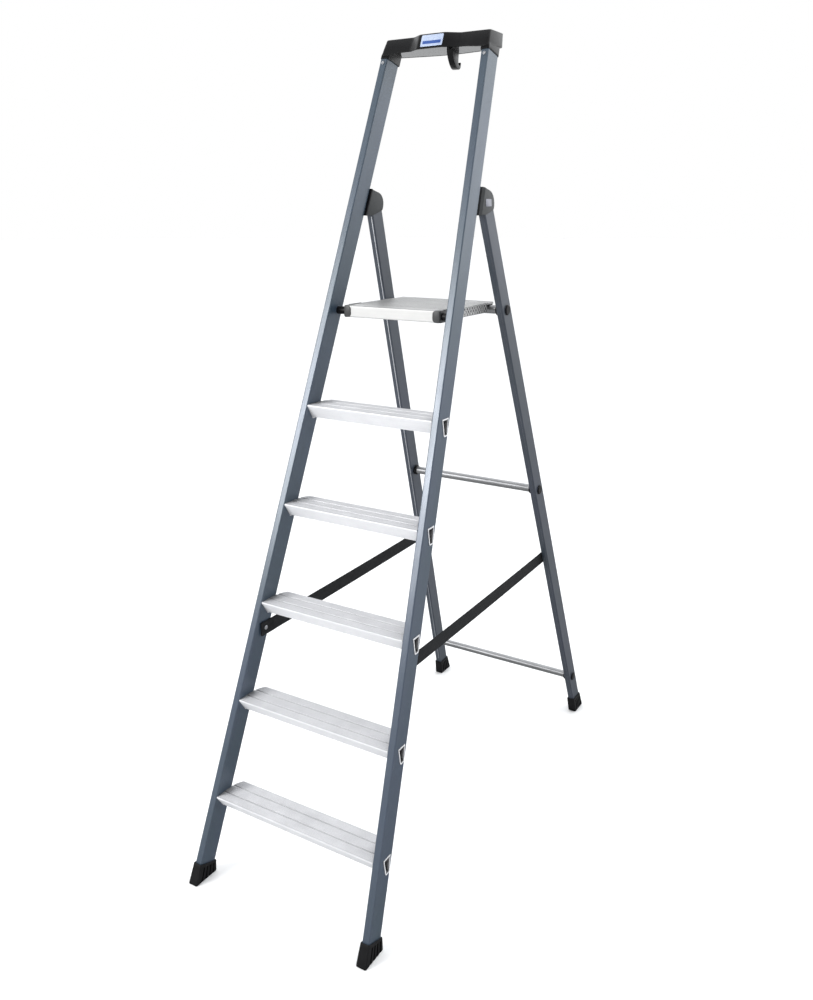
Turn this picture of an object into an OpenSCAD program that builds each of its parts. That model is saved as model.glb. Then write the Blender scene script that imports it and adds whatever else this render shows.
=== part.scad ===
// Single-sided step ladder with five treads, a hinged platform and a tool tray.
// +Z up, front (climbing side) towards -Y, origin on the floor at the middle
// of the open ladder's footprint. Millimetres.
// Modules are drawn with y = 0 at the front stiles' foot; placed() moves them
// back so that the footprint is centred.

/* [Front frame] */
// Lean of the front frame from the vertical, degrees
front_lean = 20.5; // [19:0.5:22]
// Inward splay of each front stile, degrees
front_splay = 3.2; // [3:0.1:3.4]
// Half width over the stiles at floor level
front_half_w = 264.3; // [262:0.1:268]
// Width of a stile seen from the front
stile_w = 19; // [18:0.5:21]
// Depth of a stile, front to back
stile_d = 53; // [51:0.5:54]
// Corner radius of a stile
stile_r = 3; // [2:0.5:4]
// Wall thickness of a stile
stile_wall = 1.6; // [1.2:0.1:2.2]

/* [Treads] */
// Height of the first tread above the floor
tread_first = 214.5; // [205:0.5:225]
// Rise from one tread to the next
tread_pitch = 235; // [232:1:237]
// Depth of a tread, nose to rear edge
tread_depth = 88; // [84:1:90]
// Height of the box under the tread nose
tread_box_h = 35; // [32:1:38]
// Depth of the anti-slip ribs
rib_depth = 0.7; // [0.4:0.1:1]

/* [Rear frame] */
// Lean of the rear frame from the vertical when open, degrees
rear_lean = 20; // [19:0.5:21]
// Inward splay of each rear leg, degrees
rear_splay = 3.3; // [3.2:0.1:3.4]
// Half width over the rear legs at the hinge
rear_half_w = 167.3; // [166.5:0.1:168]
// Width of a rear leg seen from behind
leg_w = 18.5; // [17.5:0.5:19.5]
// Depth of a rear leg
leg_d = 46; // [44:0.5:48]
// Corner radius of a rear leg
leg_r = 2.5; // [2:0.5:3]
// Distance of the front face's bead from the leg's corner
bead_in = 5.2; // [4:0.2:7]
// Height of the bead
bead_h = 1; // [0.6:0.1:1.4]
// Wall thickness of a rear leg
leg_wall = 1.5; // [1.2:0.1:2]
// Hinge height along the stile
hinge_u = 1774; // [1770:1:1778]
// Hinge distance behind the stile's front face
hinge_v = 95.5; // [94:0.5:97]
// Hinge pin diameter
pin_d = 8; // [7:0.5:9]
// Radial clearance of the pin in its bush
pin_gap = 0.08; // [0.05:0.01:0.1]
// Rung diameter
rung_d = 22; // [20:0.5:24]
// Heights of the three rungs above the floor
rung_z = [1371, 849.5, 141];

/* [Platform] */
// Half width of the platform
plat_half_w = 136; // [134:1:138]
// Height of the platform's top face
plat_z = 1389; // [1388:0.5:1390]
// Front face of the platform, distance behind the origin
plat_y = 540; // [538:1:542]
// Platform depth, front face to rear edge
plat_depth = 282; // [278:1:284]
// Depth of the platform's edge beams
plat_h = 28; // [26:1:29]

/* [Tool tray] */
// Height of the tray's top face
tray_top = 2009.5; // [2006:0.5:2013]
// Height of the tray's underside
tray_under = 1977; // [1974:0.5:1979]
// Bulge of the tray's front face
tray_bulge = 18; // [10:1:20]

/* [Straps] */
// Webbing width
strap_w = 38; // [30:1:40]
// Webbing thickness
strap_t = 1.8; // [1.4:0.1:2.2]

/* [Hidden] */
$fn = 48;
fl = front_lean; fs = front_splay; rl = rear_lean; rs = rear_splay;
// world position of a point (v, u) of the front frame
function fy(v, u) = v*cos(fl) + u*sin(fl);
function fz(v, u) = u*cos(fl) - v*sin(fl);
// outer half width of the front frame at u
function fw(u) = front_half_w - u*tan(fs);
hinge_y = fy(hinge_v, hinge_u);
hinge_z = fz(hinge_v, hinge_u);
// distance along the rear leg from the hinge down to height z
function rs_at(z) = (hinge_z - z)/cos(rl);
// world y of the rear leg's middle plane at height z
function ry(z) = hinge_y + (hinge_z - z)*tan(rl);
// outer half width of the rear frame at distance s below the hinge
function rw(s) = rear_half_w + s*tan(rs);
stile_lo = 25; stile_hi = 2116;
axis_z = plat_z - plat_h/2; axis_y = plat_y + plat_h/2;
strap_zf = 611; strap_zr = 619;
// strap anchor on the stile (v, u) and on the rear leg (y, z)
sf_u = (strap_zf + 36*sin(fl))/cos(fl); sf_v = 36;
sf_y = fy(sf_v, sf_u); sr_y = ry(strap_zr);
// middle of the footprint, front toe to rear heel
y_mid = (ry(0) + 32 - 6)/2;
module placed() { translate([0, -y_mid, 0]) children(); }
steel = "lightgray"; blue = "slategray"; dark = [0.13,0.13,0.14]; alu = [0.84,0.85,0.86];

// front frame: x across, y depth behind the front face, z along the stile
module front_frame() { rotate([-fl, 0, 0]) children(); }
// one side's splayed frame: x = 0 on the outer face, inwards is -x on the right side
module stile_frame(side) {
  front_frame() if (side > 0) translate([front_half_w, 0, 0]) rotate([0, -fs, 0]) children();
  else mirror([1, 0, 0]) translate([front_half_w, 0, 0]) rotate([0, -fs, 0]) children();
}
// rear frame: z = 0 at the hinge, downwards is negative
module rear_frame() { translate([0, hinge_y, hinge_z]) rotate([rl, 0, 0]) children(); }
module leg_frame(side) {
  rear_frame() if (side > 0) translate([rear_half_w, 0, 0]) rotate([0, -rs, 0]) children();
  else mirror([1, 0, 0]) translate([rear_half_w, 0, 0]) rotate([0, -rs, 0]) children();
}
module sided(side) { if (side > 0) children(); else mirror([1, 0, 0]) children(); }
// rounded rectangle from [x0, y0], size [w, d]
module rrect(x0, y0, w, d, r) {
  translate([x0 + r, y0]) square([w - 2*r, d]);
  translate([x0, y0 + r]) square([w, d - 2*r]);
  for (i = [0, 1], j = [0, 1]) translate([x0 + r + i*(w - 2*r), y0 + r + j*(d - 2*r)]) circle(r);
}
// space inside the outer faces of the front frame, moved out by g
module front_wedge(g, v0 = -60, v1 = 200) {
  front_frame() translate([0, v1, 0]) rotate([90, 0, 0]) linear_extrude(v1 - v0)
    polygon([[-(fw(0) + g/cos(fs)), 0], [fw(0) + g/cos(fs), 0], [fw(2200) + g/cos(fs), 2200], [-(fw(2200) + g/cos(fs)), 2200]]);
}
// everything below the floor line z = h
module below(h) { translate([-500, -300, h - 300]) cube([1000, 2200, 300]); }

// ---- stiles ----
// outline of the tread box where it goes through a stile; g grows it
module box_through(g) {
  polygon([[17 - g, g], [44 + g, g], [36.4 + g*0.9, -36], [34 + g*0.5, -38.5 - g], [23 - g*0.5, -38.5 - g], [21 - g, -36]]);
}
// a prism along X with its outline in the Y-Z plane
module along_x(x0, x1) { translate([x0, 0, 0]) rotate([90, 0, 90]) linear_extrude(x1 - x0) children(); }
function tz(i) = tread_first + (i - 1)*tread_pitch;
function ty(i) = tz(i)*tan(fl);
module stile(side) color(blue) {
  difference() {
    stile_frame(side) difference() {
      translate([0, 0, stile_lo]) linear_extrude(stile_hi - stile_lo) difference() {
        rrect(-stile_w, 0, stile_w, stile_d, stile_r);
        rrect(-stile_w + stile_wall, stile_wall, stile_w - 2*stile_wall, stile_d - 2*stile_wall, stile_r - stile_wall + 0.2);
      }
      // bore for the tray screw, front wall only
      translate([-stile_w/2, -1, 2092]) rotate([-90, 0, 0]) cylinder(d = 4.3, h = 6);
    }
    // bore for the platform's pivot pin, inner wall only
    sided(side) translate([fw(axis_vu()[1]) - stile_w - 4, axis_y, axis_z]) rotate([0, 90, 0]) cylinder(d = 8.3, h = 10);
    // bore for the strap rivet, inner wall only
    sided(side) translate([xf - 4, sf_y, strap_zf]) rotate([0, 90, 0]) cylinder(d = 5.3, h = 10);
    // bores for the bracket rivets, rear wall only
    bracket_frame(side) rivet_places() translate([0, 0, stile_d - 7]) cylinder(d = 5.3, h = 12);
    sided(side) for (i = [1 : 5]) translate([0, ty(i), tz(i)]) along_x(60, 330) box_through(0.25);
  }
}
function axis_vu() = [axis_y*cos(fl) - axis_z*sin(fl), axis_y*sin(fl) + axis_z*cos(fl)];

// ---- treads ----
function band(a, b, n) = [for (i = [0 : n - 1], k = [0, 1, 2, 3])
  let (p = (b - a)/n) [a + i*p + [0, 0.28, 0.5, 0.78][k]*p, [-rib_depth, -rib_depth, 0, 0][k]]];
module tread_outline() {
  difference() {
    polygon(concat([[0.6, -4.2], [0, -2.6], [0.4, -1.2], [1.6, -0.2], [3, 0]],
      band(5, 26, 6), [[26.4, 0], [27, -1.6], [30.4, -1.6], [31, 0]],
      band(32, 57, 7), [[57.4, 0], [58, -1.6], [61.4, -1.6], [62, 0]],
      band(63, 84, 6), [[84.5, 0], [86.6, -0.3], [tread_depth - 0.2, -1.5], [tread_depth, -3], [tread_depth, -14], [tread_depth - 2.2, -14],
      [tread_depth - 2.2, -3.6], [45.5, -3.6], [38, -tread_box_h + 1], [36, -tread_box_h], [21.4, -tread_box_h], [19.8, -tread_box_h + 1]]));
    // hollow of the front box
    polygon([[8, -4.4], [43, -4.4], [35.6, -tread_box_h + 2.2], [22.6, -tread_box_h + 2.2]]);
  }
}
module tread(i) color(alu) {
  w = fw(ty(i)*sin(fl) + tz(i)*cos(fl));
  // deck between the stiles, rear corners cut away behind them
  difference() {
    intersection() {
      translate([0, ty(i), tz(i)]) along_x(-w - 20, w + 20) tread_outline();
      front_wedge(-stile_w - 0.1);
    }
    for (s = [1, -1]) sided(s) translate([w - stile_w, ty(i) + tread_depth, tz(i) - 60]) linear_extrude(100)
      polygon([[-15, 1], [-12.5, -3.5], [-9.6, -8], [-6.5, -13], [-3.8, -19], [-2.2, -27], [30, -27], [30, 1]]);
  }
  // swaged ends of the box through the stiles
  difference() {
    intersection() {
      translate([0, ty(i), tz(i)]) along_x(-w - 20, w + 20) box_through(0);
      union() {
        difference() { front_wedge(1.4); front_wedge(-stile_w - 0.1); }
      }
    }
    translate([0, ty(i), tz(i)]) along_x(-w - 30, w + 30) box_through(-1.8);
  }
  // rolled rims on the outer faces
  difference() {
    intersection() {
      translate([0, ty(i), tz(i)]) along_x(-w - 20, w + 20) box_through(1.6);
      difference() { front_wedge(1.4); front_wedge(0.05); }
    }
    translate([0, ty(i), tz(i)]) along_x(-w - 30, w + 30) box_through(-1.8);
  }
}

// ---- feet ----
module foot_side(pad) {
  // outline in depth and height of a front foot, in floor coordinates
  polygon([[-5.5, 0], [68.5, 0], [69.8, 3], [fy(57, 54.5), fz(57, 54.5)], [fy(-3.4, 54.5), fz(-3.4, 54.5)], [-6, 4]]);
}
module front_foot(side) color(dark) {
  difference() {
    intersection() {
      sided(side) along_x(225, 285) foot_side();
      stile_frame(side) translate([-stile_w - 6.2, -50, -40]) cube([stile_w + 9.4, 150, 120]);
    }
    stile_frame(side) translate([0, 0, stile_lo]) linear_extrude(60) rrect(-stile_w - 0.1, -0.1, stile_w + 0.2, stile_d + 0.2, stile_r);
    // grip ribs on both side faces
    for (k = [0 : 4]) stile_frame(side) for (x = [[2.2, 6], [-stile_w - 9.2, -stile_w - 5.2]])
      translate([x[0], 20 + k*8, -10]) cube([x[1] - x[0], 3.2, 57]);
    // tread pattern under the sole
    for (k = [0 : 4]) sided(side) translate([220, 3 + k*13, -1]) cube([80, 4, 3]);
  }
}
module rear_foot(side) color(dark) {
  c = ry(0);
  difference() {
    intersection() {
      sided(side) along_x(225, 295) polygon([[c - 33, 0], [c + 30, 0], [c + 32, 3],
        [c + 23.5 - 46*tan(rl) + 8, 44], [c - 26.5 - 62*tan(rl) + 1, 62], [c - 35, 4]]);
      leg_frame(side) translate([-leg_w - 4, -90, -rs_at(0) - 40]) cube([leg_w + 8, 180, 140]);
    }
    leg_frame(side) translate([0, 0, -rs_at(0) + 15]) linear_extrude(90) rrect(-leg_w - 0.1, -leg_d/2 - 0.1, leg_w + 0.2, leg_d + 0.2, leg_r);
    for (k = [0 : 3]) sided(side) translate([220, c - 27 + k*13, -1]) cube([80, 4, 3]);
  }
}

// ---- tool tray ----
function blend(a, b, x) = x <= a ? 0 : x >= b ? 1 : (1 - cos(180*(x - a)/(b - a)))/2;
function tray_f(x, g) = -3 - tray_bulge*(1 - blend(33, 64, abs(x))) + g;
function tray_b(x, g) = 72 + 19*pow(cos(90*min(abs(x)/142, 1)), 1.3) - g;
// k stretches the depth and dy moves it, for a level cut through the leaning tray
module tray_plan(g, hw, k = 1, dy = 0) {
  n = 40; r = 7;
  polygon([for (p = concat(
    [for (i = [0 : n]) let (x = -hw + r + i*2*(hw - r)/n) [x, tray_f(x, g)]],
    [for (i = [1 : 5]) let (a = -90 + i*15) [hw - r + r*cos(a), tray_f(hw, g) + r + r*sin(a)]],
    [for (i = [0 : 6]) let (a = i*15) [hw - r + r*cos(a), tray_b(hw, g) - r + r*sin(a)]],
    [for (i = [1 : n - 1]) let (x = hw - r - i*2*(hw - r)/n) [x, tray_b(x, g)]],
    [for (i = [0 : 6]) let (a = 90 + i*15) [-hw + r + r*cos(a), tray_b(hw, g) - r + r*sin(a)]],
    [for (i = [1 : 5]) let (a = 180 + i*15) [-hw + r + r*cos(a), tray_f(hw, g) + r + r*sin(a)]])) [p[0], p[1]*k + dy]]);
}
module slab(z0, z1) { translate([-300, 500, z0]) cube([600, 600, z1 - z0]); }
tray_hw = fw(2136) + 2.4;
module tool_tray() color(dark) {
  difference() {
    union() {
      intersection() {
        front_frame() translate([0, 0, 2040]) linear_extrude(180) tray_plan(0, tray_hw);
        slab(tray_under, tray_top);
      }
      for (s = [1, -1]) stile_frame(s) translate([-stile_w - 2.4, -3, 2102]) cube([stile_w + 4.8, 59, 22]);
    }
    // recess for tools between the end sockets, upright near its floor
    intersection() {
      front_frame() translate([0, 0, 2040]) linear_extrude(200) tray_plan(3.2, fw(2136) - stile_w - 4);
      slab(tray_under + 7.5, tray_top + 10);
    }
    translate([0, 0, tray_under + 4]) linear_extrude(4)
      tray_plan(3.2, fw(2136) - stile_w - 4, 1/cos(fl), (tray_under + 8)*tan(fl));
    // pockets for the stile ends, and a lightening recess above them
    for (s = [1, -1]) stile_frame(s) translate([0, 0, 2090]) linear_extrude(stile_hi + 0.5 - 2090) rrect(-stile_w - 0.1, -0.1, stile_w + 0.2, stile_d + 0.2, stile_r);
  }
}
module bucket_hook() color(dark)
  // tapering plate with a short upturned tip, open to the rear
  along_x(22, 38) polygon([[761, tray_under - 0.05], [764.5, 1966], [769.5, 1955], [776.5, 1945.5], [784, 1938.8], [791, 1936.2], [798, 1936], [803.2, 1938], [806.6, 1943],
    [808, 1951.5], [806, 1953.2], [804, 1952], [802.4, 1947.6], [799.6, 1945.6], [796.4, 1946.4], [794.4, 1950], [794.6, 1960], [797, tray_under - 0.05]]);
module tray_label() color([0.8, 0.84, 0.9]) {
  front_frame() translate([-26, tray_f(0, 0) - 0.65, 2106]) cube([58, 0.6, 28.5]);
}
module tray_screws() color(steel) {
  for (s = [1, -1]) stile_frame(s) translate([-stile_w/2, 0, 2092]) rotate([90, 0, 0]) {
    translate([0, 0, -6]) cylinder(d = 4, h = 6.05);
    difference() { translate([0, 0, 0.05]) cylinder(d = 8, h = 1.9); translate([-3, -0.5, 1.1]) cube([6, 1, 2]); translate([-0.5, -3, 1.1]) cube([1, 6, 2]); }
  }
}

// ---- rear hinge ----
cheek_t = 2.5; side_gap = 1.5;
// middle of the leg at the hinge, and the bracket's half width
leg_mid = rear_half_w - leg_w/2;
br_half = leg_w/2 + side_gap + cheek_t;
// the bracket's own frame: it follows the stile's splay about the pivot
module bracket_frame(side) sided(side) translate([leg_mid, 0, 0]) front_frame()
  translate([0, 0, hinge_u]) rotate([0, -fs, 0]) translate([0, 0, -hinge_u]) children();
// the two rivets through the stile's rear wall; z runs rearwards from the stile's front face
module rivet_places() for (du = [-31, 15])
  translate([fw(hinge_u) - leg_mid - stile_w/2, 0, hinge_u + du]) rotate([-90, 0, 0]) children();
module bracket_plan() {
  // side outline in depth and height about the pivot
  translate([hinge_v, hinge_u]) union() {
    circle(29);
    polygon([[-37.5, 24.4], [-37.5, -44.4], [-8, -32.4], [14, -17], [28.6, -4.5], [27, 10], [10, 27.2], [0, 27.6], [-20, 25.8]]);
  }
}
module bracket_space() {
  // room for the leg's end between the cheeks
  translate([hinge_v, hinge_u]) union() {
    circle(25.8);
    polygon([[-34.5, 21.4], [-34.5, -70], [80, -70], [80, -7], [24.4, 8.4], [10, 23.5]]);
  }
}
module hinge_bracket(side) color([0.24, 0.25, 0.27]) sided(side) {
  difference() {
    bracket_frame(1) difference() {
      along_x(-br_half, br_half) bracket_plan();
      along_x(-leg_w/2 - side_gap, leg_w/2 + side_gap) bracket_space();
      // round the outer rim
      for (m = [0, 1]) mirror([m, 0, 0]) translate([br_half, hinge_v + 24, hinge_u + 31]) rotate([90, 0, 0]) rotate([0, 0, 45]) translate([-1, -1, 0]) cube([2, 2, 90]);
    }
    // holes for the rivets in the back wall
    bracket_frame(1) rivet_places() translate([0, 0, stile_d + 4]) cylinder(d = 5.2, h = 6);
    // pin holes: through the outer cheek, blind in the inner one
    translate([leg_mid, 0, 0]) front_frame() translate([-leg_w/2 - side_gap - 1.8, hinge_v, hinge_u]) rotate([0, 90, 0]) cylinder(d = pin_d + 0.1, h = 60);
  }
}
module bracket_base(side) color([0.07, 0.07, 0.08]) bracket_frame(side) difference() {
  along_x(-br_half - 4, fw(hinge_u) - leg_mid - 0.1) translate([hinge_v, hinge_u]) polygon([[-42.4, 22.8], [-42.4, -45.6], [-37.6, -44], [-37.6, 22.8]]);
  rivet_places() translate([0, 0, stile_d - 3]) cylinder(d = 5.2, h = 10);
}
module bracket_rivets() color(steel) {
  for (s = [1, -1]) bracket_frame(s) rivet_places() {
    translate([0, 0, 49]) cylinder(d = 5, h = 12.2);
    translate([0, 0, hinge_v - 34.4]) cylinder(d = 9, h = 1.4);
  }
}
module bracket_label() color([0.95, 0.95, 0.96]) bracket_frame(1)
  along_x(br_half + 0.05, br_half + 0.55) translate([hinge_v, hinge_u]) rotate(fl) translate([-20.5, -8.5]) square([31.5, 17]);
module hinge_pin(side) color(steel) sided(side)
  translate([leg_mid, 0, 0]) front_frame() translate([-leg_w/2 - side_gap - 1.6, hinge_v, hinge_u]) rotate([0, 90, 0]) cylinder(d = pin_d, h = leg_w + 2*side_gap + 1.6 + cheek_t - 0.4);

// ---- rear frame ----
leg_lo = rs_at(0) - 15.5;
module rear_leg(side) color([0.31, 0.34, 0.38]) {
  difference() {
    leg_frame(side) difference() {
      union() {
        difference() {
          translate([0, 0, -leg_lo]) linear_extrude(leg_lo) rrect(-leg_w, -leg_d/2, leg_w, leg_d, leg_r);
          translate([0, 0, -leg_lo - 1]) linear_extrude(leg_lo - 30) rrect(-leg_w + leg_wall, -leg_d/2 + leg_wall, leg_w - 2*leg_wall, leg_d - 2*leg_wall, 1.2);
        }
        // rounded top end about the pivot
        translate([-leg_w, 0, 0]) rotate([0, 90, 0]) cylinder(d = leg_d, h = leg_w);
        // raised bead on the front face, on the same side of both extrusions
        translate([side < 0 ? bead_in - leg_w : -bead_in, 0, 75/cos(rl) - rs_at(0)]) linear_extrude(rs_at(0) - 75/cos(rl) - 24) polygon([[-1.2, 0.3 - leg_d/2], [-0.5, -leg_d/2 - bead_h], [0.5, -leg_d/2 - bead_h], [1.2, 0.3 - leg_d/2]]);
      }
    }
    // through holes for the rungs and the pivot bush
    rear_frame() for (z = rung_z) translate([-400, 0, -rs_at(z)]) rotate([0, 90, 0]) cylinder(d = rung_d + 0.2, h = 800);
    rear_frame() translate([-400, 0, 0]) rotate([0, 90, 0]) cylinder(d = 14.2, h = 800);
    sided(side) translate([xr - 4, sr_y, strap_zr]) rotate([0, 90, 0]) cylinder(d = 5.3, h = 10);
  }
}
module rear_rung(k) color(alu) {
  s = rs_at(rung_z[k]); w = rw(s) - 0.4;
  difference() {
    rear_frame() translate([-w, 0, -s]) rotate([0, 90, 0]) difference() {
      cylinder(d = rung_d, h = 2*w);
      translate([0, 0, -1]) cylinder(d = rung_d - 3.2, h = 2*w + 2);
    }
  }
}
module rung_collars() color(dark) {
  for (s = [1, -1], k = [0 : 2]) let (d = rs_at(rung_z[k]), w = rw(d) - leg_w) sided(s)
    rear_frame() translate([w - 7.4, 0, -d]) rotate([0, 90, 0]) difference() {
      union() { cylinder(d = 29, h = 6.4); translate([0, 0, -1.6]) cylinder(d1 = 25.5, d2 = 29, h = 1.6); }
      translate([0, 0, -3]) cylinder(d = rung_d + 0.1, h = 20);
    }
}
module rung_plugs() color(dark) {
  for (s = [1, -1], k = [0 : 2]) let (d = rs_at(rung_z[k]), w = rw(d)) sided(s)
    rear_frame() translate([w, 0, -d]) rotate([0, 90, 0]) {
      translate([0, 0, 0.9]) cylinder(d = 26, h = 1.6);
      translate([0, 0, 2.5]) cylinder(d1 = 26, d2 = 21, h = 1.8);
      translate([0, 0, -12]) cylinder(d = rung_d - 3.4, h = 13);
    }
}
module leg_bush(side) color([0.85, 0.85, 0.8]) sided(side)
  translate([leg_mid, 0, 0]) front_frame() translate([-leg_w/2 - 0.3, hinge_v, hinge_u]) rotate([0, 90, 0]) difference() {
    cylinder(d = 14, h = leg_w + 0.6);
    translate([0, 0, -1]) cylinder(d = pin_d + 2*pin_gap, h = leg_w + 4);
  }

// ---- platform ----
module platform_front_beam() color(alu) {
  // box extrusion with a round socket at each end
  along_x(-plat_half_w + 16, plat_half_w - 16) difference() {
    translate([plat_y, plat_z - plat_h]) union() {
      rrect(0, 0, 30, plat_h, 3);
    }
    translate([axis_y, axis_z]) circle(d = plat_h - 5);
  }
}
module platform_end_cap(side) color(dark) sided(side) {
  translate([0, axis_y, axis_z]) rotate([0, 90, 0]) {
    difference() {
      union() {
        translate([0, 0, plat_half_w - 15.9]) cylinder(d = plat_h + 1, h = 14.4);
        translate([0, 0, plat_half_w - 1.5]) cylinder(d1 = plat_h + 1, d2 = plat_h - 2, h = 1.5);
        translate([0, 0, plat_half_w - 34]) cylinder(d = plat_h - 5.3, h = 20);
      }
      translate([0, 0, plat_half_w - 40]) cylinder(d = 8.15, h = 60);
    }
  }
}
module platform_deck() color(alu) {
  y0 = plat_y + 30.2; y1 = plat_y + plat_depth;
  difference() {
    translate([-plat_half_w, y0, plat_z - 2.2]) cube([2*plat_half_w, y1 - y0, 2.2]);
    // anti-slip grooves across the deck
    for (k = [0 : 20]) translate([-plat_half_w - 1, y0 + 6 + k*11.6, plat_z - 0.7]) cube([2*plat_half_w + 2, 2.4, 2]);
  }
}
module platform_side_rail(side) color(alu) sided(side) {
  y0 = plat_y + 30.2; y1 = plat_y + plat_depth;
  difference() {
    translate([plat_half_w - 2, y0, plat_z - 25]) cube([2, y1 - y0, 22.7]);
    // clear of the upper rung
    translate([plat_half_w - 5, ry(rung_z[0]) - 18, plat_z - 30]) cube([10, 100, rung_z[0] + rung_d/2 + 1.2 - plat_z + 30]);
    for (k = [0 : 16], j = [0 : 2]) translate([plat_half_w - 4, y0 + 12 + k*13.4 + (j % 2)*6.7, plat_z - 20.6 + j*6.7]) rotate([0, 90, 0]) cylinder(d = 5.4, h = 8);
  }
  translate([plat_half_w - 16, y0, plat_z - 4.3]) cube([16, y1 - y0, 2]);
}
module platform_rear_beam() color(alu) {
  y1 = plat_y + plat_depth; yr = ry(rung_z[0]);
  difference() {
    translate([-plat_half_w + 2.2, yr - 38, plat_z - 18]) cube([2*plat_half_w - 4.4, 20, 13.5]);
    translate([-plat_half_w - 2, yr - 36, plat_z - 16.2]) cube([2*plat_half_w + 4, 16, 9.7]);
  }
}
module platform_hook(side) color(dark) sided(side) {
  yr = ry(rung_z[0]); zr = rung_z[0]; r = rung_d/2;
  along_x(plat_half_w - 24, plat_half_w - 2.3) difference() {
    polygon([[yr - 17.8, plat_z - 4.4], [yr + r + 6.2, plat_z - 4.4], [yr + r + 6.2, zr - 6], [yr + r + 3, zr - 8], [yr + r + 0.6, zr - 3],
      [yr + 5, zr + 4], [yr - 13, zr + 4], [yr - 17.8, zr + 5]]);
    translate([yr, zr]) circle(r + 0.5);
    translate([yr - 18, zr - 20]) square([18.01, 20 + r + 0.5]);
  }
}
module platform_spacer(side) color([0.07, 0.07, 0.08]) {
  difference() {
    sided(side) translate([plat_half_w + 0.5, axis_y, axis_z]) rotate([0, 90, 0]) difference() {
      cylinder(d = 19, h = 60);
      translate([0, 0, -1]) cylinder(d = 8.1, h = 80);
    }
    stile_frame(side) translate([-stile_w - 0.05, -100, 1300]) cube([120, 300, 400]);
  }
}
module platform_pivot_pins() color(steel) {
  for (s = [1, -1]) sided(s) translate([plat_half_w - 33, axis_y, axis_z]) rotate([0, 90, 0]) cylinder(d = 8, h = fw(axis_vu()[1]) - stile_w + 4.5 - plat_half_w + 33);
}

// ---- straps ----
xf = fw(sf_u) - stile_w/cos(fs); xr = rw(rs_at(strap_zr)) - leg_w;
// middle of the webbing, in from the faces it is riveted to
strap_off = 3;
module strap(side) color([0.12, 0.12, 0.13]) sided(side) {
  // flat webbing from the stile's inner face to the leg's inner face
  a = atan2(xr - xf, sr_y - sf_y);
  difference() {
    translate([xf - strap_off, sf_y, 0]) rotate([0, 0, -a]) translate([-strap_t/2, -18, 0])
      rotate([90, 0, 90]) linear_extrude(strap_t) polygon([[0, strap_zf - strap_w/2], [sr_y - sf_y + 36, strap_zr - strap_w/2], [sr_y - sf_y + 36, strap_zr + strap_w/2], [0, strap_zf + strap_w/2]]);
    translate([0, sf_y, strap_zf]) rotate([0, 90, 0]) cylinder(d = 5.6, h = 400);
    translate([0, sr_y, strap_zr]) rotate([0, 90, 0]) cylinder(d = 5.6, h = 400);
  }
}
module strap_rivets_front() color(steel) {
  for (s = [1, -1]) sided(s) translate([xf, sf_y, strap_zf]) rotate([0, -90, 0]) {
    translate([0, 0, -2.8]) cylinder(d = 5, h = strap_off + 4);
    translate([0, 0, strap_off + 1.1]) cylinder(d1 = 12, d2 = 8, h = 1.8);
  }
}
module strap_rivets_rear() color(steel) {
  for (s = [1, -1]) sided(s) translate([xr, sr_y, strap_zr]) rotate([0, -90, 0]) {
    translate([0, 0, -2.8]) cylinder(d = 5, h = strap_off + 4);
    translate([0, 0, strap_off + 1.1]) cylinder(d1 = 12, d2 = 8, h = 1.8);
  }
}

placed() stile(-1);  // stile_left
placed() stile(1);  // stile_right
placed() tread(1);  // tread_1
placed() tread(2);  // tread_2
placed() tread(3);  // tread_3
placed() tread(4);  // tread_4
placed() tread(5);  // tread_5
placed() front_foot(-1);  // front_foot_left
placed() front_foot(1);  // front_foot_right
placed() tool_tray();
placed() bucket_hook();
placed() tray_label();
placed() tray_screws();
placed() hinge_bracket(-1);  // hinge_bracket_left
placed() hinge_bracket(1);  // hinge_bracket_right
placed() bracket_base(-1);  // bracket_base_left
placed() bracket_base(1);  // bracket_base_right
placed() bracket_rivets();
placed() bracket_label();
placed() hinge_pin(-1);  // hinge_pin_left
placed() hinge_pin(1);  // hinge_pin_right
placed() platform_spacer(-1);  // platform_spacer_left
placed() platform_spacer(1);  // platform_spacer_right
placed() platform_pivot_pins();
placed() strap_rivets_front();
placed() rear_leg(-1);  // rear_leg_left
placed() rear_leg(1);  // rear_leg_right
placed() rear_rung(0);  // rear_rung_upper
placed() rear_rung(1);  // rear_rung_middle
placed() rear_rung(2);  // rear_rung_lower
placed() rung_collars();
placed() rung_plugs();
placed() rear_foot(-1);  // rear_foot_left
placed() rear_foot(1);  // rear_foot_right
placed() leg_bush(-1);  // leg_bush_left
placed() leg_bush(1);  // leg_bush_right
placed() strap_rivets_rear();
placed() platform_deck();
placed() platform_side_rail(-1);  // platform_side_rail_left
placed() platform_side_rail(1);  // platform_side_rail_right
placed() platform_front_beam();
placed() platform_end_cap(-1);  // platform_end_cap_left
placed() platform_end_cap(1);  // platform_end_cap_right
placed() platform_rear_beam();
placed() platform_hook(-1);  // platform_hook_left
placed() platform_hook(1);  // platform_hook_right
placed() strap(-1);  // strap_left
placed() strap(1);  // strap_right
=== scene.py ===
import math

import bmesh
import bpy
from mathutils import Matrix, Vector


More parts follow.
